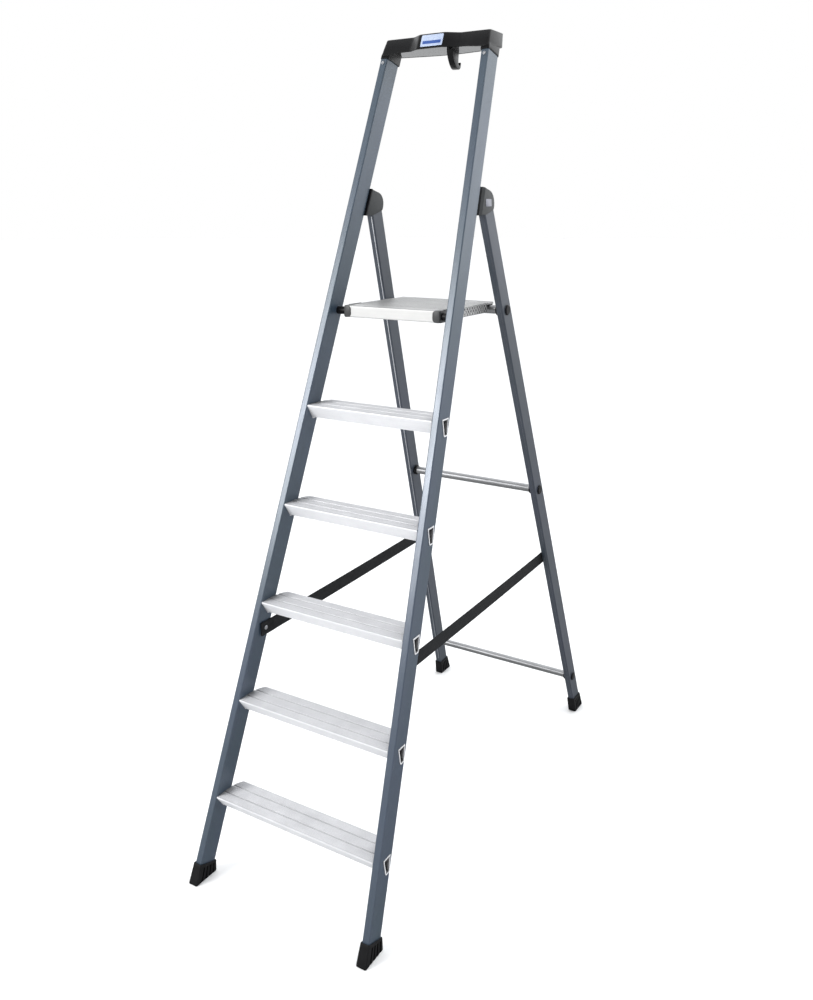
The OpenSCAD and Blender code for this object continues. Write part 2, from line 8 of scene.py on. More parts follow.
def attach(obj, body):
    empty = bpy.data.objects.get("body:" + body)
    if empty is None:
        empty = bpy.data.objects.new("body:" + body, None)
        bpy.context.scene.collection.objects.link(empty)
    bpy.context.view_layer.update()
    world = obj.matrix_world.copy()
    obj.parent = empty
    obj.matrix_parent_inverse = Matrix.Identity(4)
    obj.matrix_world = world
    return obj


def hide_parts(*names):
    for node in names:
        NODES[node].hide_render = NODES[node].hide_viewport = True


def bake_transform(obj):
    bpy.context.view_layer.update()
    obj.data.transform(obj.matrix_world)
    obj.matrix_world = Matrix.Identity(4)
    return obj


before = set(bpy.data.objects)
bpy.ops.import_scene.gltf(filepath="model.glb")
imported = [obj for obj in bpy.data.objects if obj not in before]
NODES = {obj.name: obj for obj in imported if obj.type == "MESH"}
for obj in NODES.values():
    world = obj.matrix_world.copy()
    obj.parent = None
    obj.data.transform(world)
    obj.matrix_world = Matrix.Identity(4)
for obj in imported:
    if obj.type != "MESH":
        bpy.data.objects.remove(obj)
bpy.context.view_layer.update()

# ---------------------------------------------------------------- dimensions (mm, as in part.scad)
FL, FS = math.radians(20.5), math.radians(3.2)
RL, RS = math.radians(20.0), math.radians(3.3)
FRONT_HALF, STILE_W, STILE_D = 264.3, 19.0, 53.0
REAR_HALF, LEG_W, LEG_D = 167.3, 18.5, 46.0
HV, HU = 95.5, 1774.0
cf, sf_, cr, sr_ = math.cos(FL), math.sin(FL), math.cos(RL), math.sin(RL)


def fy(v, u):
    return v * cf + u * sf_


def fz(v, u):
    return u * cf - v * sf_


def fw(u):
    return FRONT_HALF - u * math.tan(FS)


HY, HZ = fy(HV, HU), fz(HV, HU)


def ry(z):
    return HY + (HZ - z) * math.tan(RL)


def rs_at(z):
    return (HZ - z) / cr


def rw(s):
    return REAR_HALF + s * math.tan(RS)


YM = (ry(0) + 26) / 2


def P(x, y, z):
    """mm with y from the front stiles' foot, to metres in the model's frame"""
    return Vector((x, y - YM, z)) * 0.001


def front(x, v, u):
    return P(x, fy(v, u), fz(v, u))


def stile_pt(side, xs, v, us):
    x = FRONT_HALF + xs * math.cos(FS) - us * math.sin(FS)
    u = xs * math.sin(FS) + us * math.cos(FS)
    return front(side * x, v, u)


def rear(x, w, z):
    return P(x, HY + w * cr - z * sr_, HZ + w * sr_ + z * cr)


def leg_pt(side, xs, w, zs):
    x = REAR_HALF + xs * math.cos(RS) - zs * math.sin(RS)
    z = xs * math.sin(RS) + zs * math.cos(RS)
    return rear(side * x, w, z)


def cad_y(y):
    """y from the front stiles' foot in mm, to metres in the model's frame"""
    return (y - YM) * 0.001


# ---------------------------------------------------------------- camera
cam_data = bpy.data.cameras.new("camera")
cam = bpy.data.objects.new("camera", cam_data)
bpy.context.scene.collection.objects.link(cam)
cam.location = (1.16148, -1.31206 - YM * 0.001, 1.60525)
cam.rotation_euler = (math.radians(90 - 17.719), 0, math.radians(31.095))
cam_data.sensor_fit = "VERTICAL"
cam_data.sensor_height = 36.0
cam_data.lens = 897.632 * 36.0 / 1000.0
cam_data.clip_end = 200
bpy.context.scene.camera = cam
bpy.context.scene.view_settings.view_transform = "Standard"
bpy.context.scene.view_settings.look = "None"

# ---------------------------------------------------------------- light


def world_light():
    w = bpy.data.worlds.new("studio")
    bpy.context.scene.world = w
    w.use_nodes = True
    nt = w.node_tree
    nt.nodes.clear()
    tc = nt.nodes.new("ShaderNodeTexCoord")
    sep = nt.nodes.new("ShaderNodeSeparateXYZ")
    nt.links.new(tc.outputs["Generated"], sep.inputs[0])
    # bright backdrop behind the object, darker room in front of it
    back = nt.nodes.new("ShaderNodeMapRange")
    back.interpolation_type = "SMOOTHSTEP"
    back.inputs["From Min"].default_value = -0.25
    back.inputs["From Max"].default_value = 0.55
    back.inputs["To Min"].default_value = WORLD_FRONT
    back.inputs["To Max"].default_value = WORLD_BACK
    nt.links.new(sep.outputs["Y"], back.inputs["Value"])
    up = nt.nodes.new("ShaderNodeMapRange")
    up.interpolation_type = "SMOOTHSTEP"
    up.inputs["From Min"].default_value = 0.35
    up.inputs["From Max"].default_value = 0.95
    up.inputs["To Min"].default_value = 0.0
    up.inputs["To Max"].default_value = 1.0
    nt.links.new(sep.outputs["Z"], up.inputs["Value"])
    mix = nt.nodes.new("ShaderNodeMix")
    mix.data_type = "FLOAT"
    nt.links.new(up.outputs[0], mix.inputs[0])
    nt.links.new(back.outputs[0], mix.inputs[2])
    top = nt.nodes.new("ShaderNodeMapRange")
    top.interpolation_type = "SMOOTHSTEP"
    top.inputs["From Min"].default_value = -0.7
    top.inputs["From Max"].default_value = 0.3
    top.inputs["To Min"].default_value = WORLD_TOP_FRONT
    top.inputs["To Max"].default_value = WORLD_TOP_BACK
    nt.links.new(sep.outputs["Y"], top.inputs["Value"])
    nt.links.new(top.outputs[0], mix.inputs[3])
    lp = nt.nodes.new("ShaderNodeLightPath")
    bg = nt.nodes.new("ShaderNodeBackground")
    bg.inputs["Color"].default_value = (0.97, 0.985, 1.0, 1)
    nt.links.new(mix.outputs[0], bg.inputs["Strength"])
    plain = nt.nodes.new("ShaderNodeBackground")
    plain.inputs["Color"].default_value = (1, 1, 1, 1)
    plain.inputs["Strength"].default_value = 1.0
    sh = nt.nodes.new("ShaderNodeMixShader")
    nt.links.new(lp.outputs["Is Camera Ray"], sh.inputs[0])
    nt.links.new(bg.outputs[0], sh.inputs[1])
    nt.links.new(plain.outputs[0], sh.inputs[2])
    out = nt.nodes.new("ShaderNodeOutputWorld")
    nt.links.new(sh.outputs[0], out.inputs["Surface"])


WORLD_FRONT, WORLD_BACK, WORLD_TOP_FRONT, WORLD_TOP_BACK = 0.45, 1.75, 0.55, 1.70
world_light()


def softbox(name, centre, target, size, radiance, colour=(1, 1, 1)):
    li = bpy.data.lights.new(name, "AREA")
    li.shape = "RECTANGLE"
    li.size, li.size_y = size
    li.energy = radiance * math.pi * size[0] * size[1]
    li.color = colour
    o = bpy.data.objects.new(name, li)
    bpy.context.scene.collection.objects.link(o)
    o.location = centre
    d = Vector(target) - Vector(centre)
    o.rotation_euler = d.to_track_quat("-Z", "Y").to_euler()
    return o


softbox("key", (-2.02, -3.32, 2.62), (0, -0.2, 1.2), (1.7, 1.8), 11.0)
softbox("overhead", (0.6, 0.8, 5.0), (0, 0, 0.8), (4.0, 4.0), 0.8)

# ---------------------------------------------------------------- mesh helpers


def new_object(name, bm, smooth=True, sharp=math.radians(32)):
    bmesh.ops.recalc_face_normals(bm, faces=bm.faces)
    for f in bm.faces:
        f.smooth = smooth
    for e in bm.edges:
        if len(e.link_faces) == 2:
            e.smooth = e.calc_face_angle(0) < sharp
    me = bpy.data.meshes.new(name)
    bm.to_mesh(me)
    bm.free()
    o = bpy.data.objects.new(name, me)
    bpy.context.scene.collection.objects.link(o)
    return o


def bevel_sharp(bm, width, segments=2, angle=28, pick=None):
    edges = [e for e in bm.edges if len(e.link_faces) == 2 and e.calc_face_angle(0) > math.radians(angle)
             and (pick is None or pick(e))]
    if edges:
        bmesh.ops.bevel(bm, geom=edges, offset=width, segments=segments, profile=0.5, affect="EDGES", clamp_overlap=True)


def prism(points2, place, a0, a1):
    """closed prism: 2-D outline, place(point, a) -> Vector"""
    bm = bmesh.new()
    lo = [bm.verts.new(place(p, a0)) for p in points2]
    hi = [bm.verts.new(place(p, a1)) for p in points2]
    n = len(points2)
    bm.faces.new(lo)
    bm.faces.new(list(reversed(hi)))
    for i in range(n):
        j = (i + 1) % n
        bm.faces.new((lo[j], lo[i], hi[i], hi[j]))
    bmesh.ops.recalc_face_normals(bm, faces=bm.faces)
    return bm


def ring_loft(rings, cap=(True, True)):
    bm = bmesh.new()
    rows = [[bm.verts.new(p) for p in r] for r in rings]
    n = len(rows[0])
    for a, b in zip(rows, rows[1:]):
        for i in range(n):
            j = (i + 1) % n
            bm.faces.new((a[i], a[j], b[j], b[i]))
    if cap[0]:
        bm.faces.new(list(reversed(rows[0])))
    if cap[1]:
        bm.faces.new(rows[-1])
    bmesh.ops.recalc_face_normals(bm, faces=bm.faces)
    return bm


def round_rect(x0, y0, x1, y1, r, k=6):
    """rounded rectangle outline, counter-clockwise from the low-left corner"""
    pts = []
    for cx, cy, a0 in ((x1 - r, y0 + r, -90), (x1 - r, y1 - r, 0), (x0 + r, y1 - r, 90), (x0 + r, y0 + r, 180)):
        for i in range(k + 1):
            a = math.radians(a0 + 90 * i / k)
            pts.append((cx + r * math.cos(a), cy + r * math.sin(a)))
    return pts


def fillet(points, radii, k=5):
    """outline with each corner rounded by its own radius"""
    out = []
    n = len(points)
    for i in range(n):
        p, a, b = Vector(points[i]), Vector(points[i - 1]), Vector(points[(i + 1) % n])
        r = radii[i] if isinstance(radii, (list, tuple)) else radii
        u, v = (a - p), (b - p)
        lu, lv = u.length, v.length
        u.normalize(); v.normalize()
        ang = u.angle(v)
        if r <= 0 or abs(ang - math.pi) < 1e-3:
            out.append((p.x, p.y))
            continue
        t = min(r / math.tan(ang / 2), 0.48 * lu, 0.48 * lv)
        rr = t * math.tan(ang / 2)
        c = p + (u + v).normalized() * (rr / math.sin(ang / 2))
        s, e = p + u * t, p + v * t
        a0 = math.atan2(s.y - c.y, s.x - c.x)
        a1 = math.atan2(e.y - c.y, e.x - c.x)
        d = (a1 - a0 + math.pi) % (2 * math.pi) - math.pi
        for j in range(k + 1):
            q = a0 + d * j / k
            out.append((c.x + rr * math.cos(q), c.y + rr * math.sin(q)))
    return out


def boolean(target, cutters, op="DIFFERENCE"):
    for c in cutters:
        m = target.modifiers.new("cut", "BOOLEAN")
        m.operation, m.solver, m.object = op, "EXACT", c
    dg = bpy.context.evaluated_depsgraph_get()
    me = bpy.data.meshes.new_from_object(target.evaluated_get(dg))
    target.modifiers.clear()
    old = target.data
    target.data = me
    bpy.data.meshes.remove(old)
    for c in cutters:
        m = c.data
        bpy.data.objects.remove(c)
        bpy.data.meshes.remove(m)
    bm = bmesh.new()
    bm.from_mesh(me)
    bmesh.ops.remove_doubles(bm, verts=bm.verts, dist=1e-6)
    bmesh.ops.dissolve_degenerate(bm, edges=bm.edges, dist=1e-6)
    for f in bm.faces:
        f.smooth = True
    for e in bm.edges:
        if len(e.link_faces) == 2:
            e.smooth = e.calc_face_angle(0) < math.radians(32)
    bm.to_mesh(me)
    bm.free()
    return target


# ---------------------------------------------------------------- materials


class Mat:
    def __init__(self, name):
        self.m = bpy.data.materials.new(name)
        self.m.use_nodes = True
        self.nt = self.m.node_tree
        self.nt.nodes.clear()
        self.out = self.node("ShaderNodeOutputMaterial")
        self.b = self.node("ShaderNodeBsdfPrincipled")
        self.link(self.b.outputs[0], self.out.inputs["Surface"])
        self.tc = self.node("ShaderNodeTexCoord")

    def node(self, kind, **attrs):
        n = self.nt.nodes.new(kind)
        for k, v in attrs.items():
            setattr(n, k, v)
        return n

    def link(self, a, b):
        self.nt.links.new(a, b)

    def coords(self, rot=(0, 0, 0), scale=(1, 1, 1)):
        a = self.node("ShaderNodeMapping")
        a.inputs["Rotation"].default_value = rot
        self.link(self.tc.outputs["Object"], a.inputs[0])
        b = self.node("ShaderNodeMapping")
        b.inputs["Scale"].default_value = scale
        self.link(a.outputs[0], b.inputs[0])
        return b.outputs[0]

    def noise(self, vec, scale=1.0, detail=2.0, rough=0.5, dist=0.0):
        n = self.node("ShaderNodeTexNoise")
        n.inputs["Scale"].default_value = scale
        n.inputs["Detail"].default_value = detail
        n.inputs["Roughness"].default_value = rough
        n.inputs["Distortion"].default_value = dist
        self.link(vec, n.inputs["Vector"])
        return n.outputs[0]

    def remap(self, val, a, b, c, d, smooth=False):
        n = self.node("ShaderNodeMapRange")
        if smooth:
            n.interpolation_type = "SMOOTHSTEP"
        for k, v in zip(("From Min", "From Max", "To Min", "To Max"), (a, b, c, d)):
            n.inputs[k].default_value = v
        self.link(val, n.inputs["Value"])
        return n.outputs[0]

    def mix(self, fac, a, b):
        n = self.node("ShaderNodeMix")
        n.data_type = "RGBA"
        if isinstance(fac, float):
            n.inputs[0].default_value = fac
        else:
            self.link(fac, n.inputs[0])
        for v, i in ((a, 6), (b, 7)):
            if isinstance(v, tuple):
                n.inputs[i].default_value = (*v, 1)
            else:
                self.link(v, n.inputs[i])
        return n.outputs[2]

    def math(self, op, a, b=0.0):
        n = self.node("ShaderNodeMath")
        n.operation = op
        for v, i in ((a, 0), (b, 1)):
            if isinstance(v, (int, float)):
                n.inputs[i].default_value = v
            else:
                self.link(v, n.inputs[i])
        return n.outputs[0]

    def edge(self, radius, lo=0.02, hi=0.25):
        """1 close to an edge, 0 on open faces"""
        bv = self.node("ShaderNodeBevel")
        bv.samples = 4
        bv.inputs["Radius"].default_value = radius
        g = self.node("ShaderNodeNewGeometry")
        d = self.node("ShaderNodeVectorMath")
        d.operation = "DOT_PRODUCT"
        self.link(bv.outputs[0], d.inputs[0])
        self.link(g.outputs["Normal"], d.inputs[1])
        inv = self.math("SUBTRACT", 1.0, d.outputs["Value"])
        return self.remap(inv, lo, hi, 0.0, 1.0), bv.outputs[0]

    def hollow(self, distance, lo, hi):
        """1 deep inside a recess, 0 on open faces"""
        a = self.node("ShaderNodeAmbientOcclusion")
        a.samples = 6
        a.inputs["Distance"].default_value = distance
        return self.remap(a.outputs["AO"], lo, hi, 1.0, 0.0)

    def upward(self):
        """1 on faces that look up"""
        s = self.node("ShaderNodeSeparateXYZ")
        self.link(self.tc.outputs["Normal"], s.inputs[0])
        return self.remap(s.outputs["Z"], 0.5, 0.9, 0.0, 1.0)

    def downward(self):
        """1 on faces that look down"""
        s = self.node("ShaderNodeSeparateXYZ")
        self.link(self.tc.outputs["Normal"], s.inputs[0])
        return self.remap(s.outputs["Z"], -0.9, -0.6, 1.0, 0.0)

    def bump(self, height, strength, distance, normal=None):
        n = self.node("ShaderNodeBump")
        n.inputs["Strength"].default_value = strength
        n.inputs["Distance"].default_value = distance
        self.link(height, n.inputs["Height"])
        if normal is not None:
            self.link(normal, n.inputs["Normal"])
        self.link(n.outputs[0], self.b.inputs["Normal"])
        return n.outputs[0]

    def set(self, **kw):
        for k, v in kw.items():
            i = self.b.inputs[k.replace("_", " ")]
            if isinstance(v, (int, float)):
                i.default_value = v
            elif isinstance(v, tuple):
                i.default_value = (*v, 1)
            else:
                self.link(v, i)
        return self


def anodised(name, rot, base, tint, edge_col, metallic, rough, wear=0.5, ior=1.9, bead_highlight=None):
    m = Mat(name)
    lines = m.noise(m.coords(rot, (900, 900, 3.0)), 1.0, 2.0, 0.6)
    tone = m.noise(m.coords(rot, (9, 9, 3.2)), 1.0, 2.0, 0.55)
    cloud = m.noise(m.coords(rot, (30, 30, 12)), 1.0, 4.0, 0.6)
    scratch = m.noise(m.coords((rot[0] + 0.06, 0.02, 0), (1400, 1400, 9)), 1.0, 1.0, 0.4)
    col = m.mix(m.remap(tone, 0.36, 0.64, 0, 1), base, tint)
    col = m.mix(m.remap(lines, 0.3, 0.7, 0.0, 0.16), col, tuple(c * 0.62 for c in base))
    col = m.mix(m.remap(scratch, 0.70, 0.80, 0.0, 0.22), col, edge_col)
    e, nb = m.edge(0.0012, 0.03, 0.35)
    worn = m.math("MULTIPLY", e, m.remap(cloud, 0.40, 0.66, 0.05, wear))
    col = m.mix(worn, col, edge_col)
    if bead_highlight is not None:
        # painted highlight: a bright line along the raised bead, on the left leg only, brighter near the top
        centre, half = bead_highlight
        sep = m.node("ShaderNodeSeparateXYZ")
        m.link(m.tc.outputs["Object"], sep.inputs[0])
        zr = m.math("SUBTRACT", m.math("MULTIPLY", m.math("SUBTRACT", sep.outputs["Z"], HZ * 0.001), cr),
                    m.math("MULTIPLY", m.math("SUBTRACT", sep.outputs["Y"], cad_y(HY)), sr_))
        xs = m.math("ADD", m.math("MULTIPLY", m.math("SUBTRACT", m.math("ABSOLUTE", sep.outputs["X"]), REAR_HALF * 0.001), math.cos(RS)),
                    m.math("MULTIPLY", zr, math.sin(RS)))
        w = m.math("SUBTRACT", m.math("MULTIPLY", m.math("SUBTRACT", sep.outputs["Y"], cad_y(HY)), cr),
                   m.math("MULTIPLY", m.math("SUBTRACT", HZ * 0.001, sep.outputs["Z"]), sr_))
        off = m.math("ABSOLUTE", m.math("SUBTRACT", xs, centre))
        on_front = m.math("LESS_THAN", w, -LEG_D / 2 * 0.001 - 0.0001)
        bead_highlight_mask = m.math("MULTIPLY", m.remap(off, half * 0.8, half * 1.2, 1.0, 0.0), on_front)
        bead_highlight_mask = m.math("MULTIPLY", bead_highlight_mask, m.math("LESS_THAN", sep.outputs["X"], 0.0))
        highlight_fade = m.remap(zr, -1.1, -0.05, 0.25, 1.0)
        col = m.mix(m.math("MULTIPLY", bead_highlight_mask, highlight_fade), col, (0.86, 0.88, 0.92))
    m.set(Base_Color=col, Metallic=metallic, IOR=ior)
    m.set(Roughness=m.remap(m.math("ADD", m.math("MULTIPLY", lines, 0.5), m.math("MULTIPLY", cloud, 0.5)), 0.3, 0.7, rough - 0.05, rough + 0.06))
    m.bump(m.math("ADD", lines, m.math("MULTIPLY", cloud, 0.4)), 0.18, 0.00012, nb)
    return m.m


def aluminium(name, rot, base, dark, metallic, rough, along=(3.0, 700, 700), edge=0.0009, dirt=0.35, top=None, deep=None, holes=None):
    m = Mat(name)
    lines = m.noise(m.coords(rot, along), 1.0, 2.0, 0.6)
    cloud = m.noise(m.coords(rot, (22, 22, 22)), 1.0, 4.0, 0.6)
    broad = m.noise(m.coords(rot, (5, 9, 9)), 1.0, 2.0, 0.5)
    speck = m.noise(m.coords(rot, (260, 260, 260)), 1.0, 2.0, 0.6)
    col = m.mix(m.remap(lines, 0.32, 0.68, 0.0, 0.30), base, dark)
    col = m.mix(m.remap(cloud, 0.42, 0.70, 0.0, dirt), col, tuple(c * 0.86 for c in dark))
    col = m.mix(m.remap(broad, 0.35, 0.65, 0.0, 0.18), col, tuple(min(1, c * 1.06) for c in base))
    col = m.mix(m.remap(speck, 0.70, 0.80, 0.0, 0.35), col, dark)
    e, nb = m.edge(edge, 0.03, 0.3)
    col = m.mix(m.math("MULTIPLY", e, 0.5), col, tuple(min(1, c * 1.12) for c in base))
    if top is not None:
        # painted shade: faces that look up are darkened by the factor top, mottled a little
        painted_top_shade = m.mix(m.remap(cloud, 0.35, 0.68, 0.0, 1.0), (top, top, top * 1.012), (top * 0.92, top * 0.92, top * 0.935))
        mul = m.node("ShaderNodeMix")
        mul.data_type = "RGBA"
        mul.blend_type = "MULTIPLY"
        m.link(m.upward(), mul.inputs[0])
        m.link(col, mul.inputs[6])
        m.link(painted_top_shade, mul.inputs[7])
        col = mul.outputs[2]
    # painted shade: recesses, such as the tread ends inside the stile rims, darkened by ambient occlusion
    if deep is not None:
        col = m.mix(m.hollow(*deep), col, tuple(c * 0.05 for c in dark))
    if holes is not None:
        # painted shade: dark rings round the punched holes
        y0, py, z0, pz = holes
        sep = m.node("ShaderNodeSeparateXYZ")
        m.link(m.tc.outputs["Object"], sep.inputs[0])
        cy = m.math("COSINE", m.math("MULTIPLY", m.math("SUBTRACT", sep.outputs["Y"], y0), 2 * math.pi / py))
        cz = m.math("COSINE", m.math("MULTIPLY", m.math("SUBTRACT", sep.outputs["Z"], z0), 2 * math.pi / pz))
        col = m.mix(m.remap(m.math("MULTIPLY", cy, cz), 0.0, 0.5, 0.0, 0.93), col, tuple(c * 0.08 for c in dark))
    m.set(Base_Color=col, Metallic=metallic)
    m.set(Roughness=m.remap(m.math("ADD", m.math("MULTIPLY", lines, 0.5), m.math("MULTIPLY", cloud, 0.5)), 0.3, 0.7, rough - 0.07, rough + 0.08))
    m.bump(m.math("ADD", lines, m.math("MULTIPLY", speck, 0.3)), 0.22, 0.00015, nb)
    return m.m


def moulded(name, base, light, rough, grain=1600, spec=0.5, bump=0.25, wear=0.35, edge=0.0012, deep=None, under=None, ends=None):
    m = Mat(name)
    fine = m.noise(m.coords((0, 0, 0), (grain, grain, grain)), 1.0, 1.0, 0.5)
    cloud = m.noise(m.coords((0, 0, 0), (25, 25, 25)), 1.0, 4.0, 0.6)
    flow = m.noise(m.coords((0.3, 0.2, 0), (14, 60, 40)), 1.0, 3.0, 0.55)
    col = m.mix(m.remap(cloud, 0.35, 0.7, 0.0, 0.55), base, light)
    col = m.mix(m.remap(flow, 0.55, 0.75, 0.0, 0.25), col, tuple(c * 0.7 for c in base))
    e, nb = m.edge(edge, 0.04, 0.4)
    worn = m.math("MULTIPLY", e, m.remap(cloud, 0.35, 0.65, wear * 0.25, wear))
    col = m.mix(worn, col, tuple(min(1, c * 3.0 + 0.02) for c in light))
    # painted shade: recesses darkened by ambient occlusion, and made less glossy
    if deep is not None:
        pit_shade = m.hollow(*deep)
        col = m.mix(pit_shade, col, tuple(c * 0.1 for c in base))
        m.set(Specular_IOR_Level=m.remap(pit_shade, 0.0, 1.0, spec, 0.02))
    else:
        m.set(Specular_IOR_Level=spec)
    m.set(Base_Color=col)
    r = m.remap(m.math("ADD", m.math("MULTIPLY", fine, 0.4), m.math("MULTIPLY", cloud, 0.6)), 0.3, 0.7, rough - 0.07, rough + 0.09)
    if under is not None:
        # the side that comes off the polished mould half is smoother
        down = m.downward()
        r = m.math("MULTIPLY", r, m.remap(down, 0.0, 1.0, 1.0, under / rough))
        # coarser grain on the long faces than on the ends
        side = m.node("ShaderNodeSeparateXYZ")
        m.link(m.tc.outputs["Normal"], side.inputs[0])
        gloss = m.remap(m.math("ABSOLUTE", side.outputs["X"]), 0.55, 0.9, spec, ends)
        m.set(Specular_IOR_Level=m.math("ADD", gloss, m.math("MULTIPLY", down, 0.75)))
    m.set(Roughness=r)
    m.bump(fine, bump, 0.00018, nb)
    return m.m


def webbing_mat(name, slope, base, light):
    """woven polyester: ribs across the strap, fine warp threads along it"""
    m = Mat(name)
    vec = m.coords((slope, 0, 0), (1, 1, 1))
    sep = m.node("ShaderNodeSeparateXYZ")
    m.link(vec, sep.inputs[0])
    y, z = sep.outputs["Y"], sep.outputs["Z"]
    weft = m.math("SINE", m.math("MULTIPLY", y, 2 * math.pi / 0.0016))
    warp = m.math("SINE", m.math("MULTIPLY", z, 2 * math.pi / 0.0021))
    weave = m.math("MULTIPLY", weft, warp)
    cloud = m.noise(m.coords((slope, 0, 0), (60, 60, 60)), 1.0, 4.0, 0.65)
    fuzz = m.noise(m.coords((slope, 0, 0), (2600, 900, 2600)), 1.0, 2.0, 0.6)
    col = m.mix(m.remap(weave, -1, 1, 0.0, 1.0), base, light)
    col = m.mix(m.remap(fuzz, 0.55, 0.75, 0.0, 0.5), col, tuple(min(1, c * 2.6) for c in light))
    col = m.mix(m.remap(cloud, 0.5, 0.8, 0.0, 0.3), col, tuple(c * 1.8 for c in light))
    m.set(Base_Color=col, Roughness=0.82, Specular_IOR_Level=0.14, Sheen_Weight=0.04, Sheen_Roughness=0.5)
    m.bump(m.math("ADD", m.math("MULTIPLY", weave, 0.5), fuzz), 0.5, 0.0003)
    return m.m


M = {}
M["stile"] = anodised("stile_anodised", (FL, 0, 0), (0.042, 0.069, 0.100), (0.049, 0.073, 0.114), (0.42, 0.45, 0.50), 0.2, 0.32, ior=1.95)
M["leg"] = anodised("leg_anodised", (-RL, 0, 0), (0.042, 0.054, 0.070), (0.048, 0.057, 0.080), (0.34, 0.37, 0.41), 0.15, 0.36, ior=1.66, bead_highlight=((-LEG_W + 5.2) * 0.001, 0.0011))
M["tread"] = aluminium("tread_aluminium", (0, 0, 0), (0.83, 0.832, 0.85), (0.72, 0.722, 0.74), 0.25, 0.44, dirt=0.18, top=0.58, deep=(0.05, 0.30, 0.62))
M["plat"] = aluminium("platform_aluminium", (0, 0, 0), (0.62, 0.62, 0.615), (0.50, 0.50, 0.50), 0.55, 0.46, dirt=0.15, top=0.335)
M["rail"] = aluminium("platform_rail_aluminium", (0, 0, 0), (0.50, 0.50, 0.50), (0.38, 0.38, 0.38), 0.55, 0.46,
                      holes=((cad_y(540 + 30.2 + 12)), 0.0134, (1389 - 20.6) * 0.001, 0.0134))
M["beam"] = aluminium("beam_aluminium", (0, 0, 0), (0.64, 0.637, 0.627), (0.57, 0.567, 0.56), 0.30, 0.44, dirt=0.15, top=0.50)
M["rung"] = aluminium("rung_aluminium", (0, 0, 0), (0.30, 0.303, 0.31), (0.21, 0.213, 0.22), 0.75, 0.38)
M["steel"] = aluminium("zinc_steel", (0, 0, 0), (0.50, 0.51, 0.53), (0.34, 0.35, 0.37), 0.85, 0.33, along=(400, 400, 400), dirt=0.4)
M["rubber"] = moulded("foot_rubber", (0.0060, 0.0060, 0.0068), (0.013, 0.013, 0.0145), 0.52, grain=900, spec=0.20, bump=0.35, wear=0.4, deep=(0.006, 0.35, 0.85))
M["tray"] = moulded("tray_plastic", (0.0050, 0.0050, 0.0056), (0.0088, 0.0088, 0.0094), 0.31, grain=1500, spec=0.15, bump=0.15, wear=0.18, under=0.12, ends=0.42)
M["black"] = moulded("black_plastic", (0.0050, 0.0050, 0.0062), (0.010, 0.010, 0.0115), 0.40, grain=1500, spec=0.2, bump=0.2)
M["cap"] = moulded("cap_plastic", (0.052, 0.053, 0.054), (0.075, 0.076, 0.078), 0.40, grain=1500, spec=0.4, bump=0.2)
M["hood"] = moulded("hinge_plastic", (0.034, 0.037, 0.039), (0.046, 0.049, 0.051), 0.45, grain=1300, spec=0.35, bump=0.25, wear=0.25)
M["nylon"] = moulded("nylon", (0.60, 0.60, 0.56), (0.68, 0.68, 0.64), 0.40, wear=0.1)
M["web"] = webbing_mat("webbing", 0.0, (0.0055, 0.006, 0.007), (0.012, 0.0128, 0.0145))
M["white_label"] = moulded("label_white", (0.205, 0.21, 0.25), (0.235, 0.24, 0.28), 0.34, grain=500, bump=0.05, wear=0.1)


def striped_label(name):
    """pale panel with one plain blue stripe"""
    m = Mat(name)
    vec = m.coords((FL, 0, 0), (1, 1, 1))
    sep = m.node("ShaderNodeSeparateXYZ")
    m.link(vec, sep.inputs[0])
    # height along the panel, measured up the leaning face
    u_mid = sf_ * (-YM * 0.001) + LABEL_U * 0.001
    h = m.math("SUBTRACT", sep.outputs["Z"], u_mid)
    stripe = m.math("MULTIPLY", m.remap(h, -0.0088, -0.0078, 0, 1, True), m.remap(h, -0.0010, 0.0, 1, 0, True))
    inside = m.math("LESS_THAN", m.math("ABSOLUTE", m.math("SUBTRACT", sep.outputs["X"], LABEL_X * 0.001)), 0.0245)
    cloud = m.noise(m.coords((0, 0, 0), (40, 40, 40)), 1.0, 3.0, 0.6)
    pale = m.mix(m.remap(cloud, 0.3, 0.7, 0, 1), (0.42, 0.50, 0.68), (0.50, 0.57, 0.73))
    blue = m.mix(m.remap(cloud, 0.3, 0.7, 0, 1), (0.025, 0.075, 0.30), (0.035, 0.095, 0.34))
    col = m.mix(m.math("MULTIPLY", stripe, inside), pale, blue)
    m.set(Base_Color=col, Specular_IOR_Level=0.5)
    m.set(Roughness=m.remap(cloud, 0.3, 0.7, 0.28, 0.40))
    m.bump(cloud, 0.05, 0.0002)
    return m.m


LABEL_U, LABEL_X = 2120.4, 3.5
M["label"] = striped_label("label_blue")

by_node = {}
for n in NODES:
    if n.startswith("stile"):
        k = "stile"
    elif n.startswith("rear_leg"):
        k = "leg"
    elif n.startswith("tread"):
        k = "tread"
    elif "foot" in n:
        k = "rubber"
    elif n in ("tool_tray", "bucket_hook"):
        k = "tray"
    elif n == "tray_label":
        k = "label"
    elif n == "bracket_label":
        k = "white_label"
    elif n.startswith("hinge_bracket"):
        k = "hood"
    elif n.startswith("platform_end_cap"):
        k = "cap"
    elif n.startswith(("platform_spacer", "platform_hook", "bracket_base", "rung_collars", "rung_plugs")):
        k = "black"
    elif n.startswith("rear_rung"):
        k = "rung"
    elif n.startswith("leg_bush"):
        k = "nylon"
    elif n in ("strap_left", "strap_right"):
        k = "web"
    elif n == "platform_front_beam":
        k = "beam"
    elif n.startswith("platform_side_rail"):
        k = "rail"
    elif n.startswith("platform_pivot"):
        k = "steel"
    elif n.startswith("platform"):
        k = "plat"
    else:
        k = "steel"
    by_node[n] = k
    me = NODES[n].data
    me.materials.clear()
    me.materials.append(M[k])


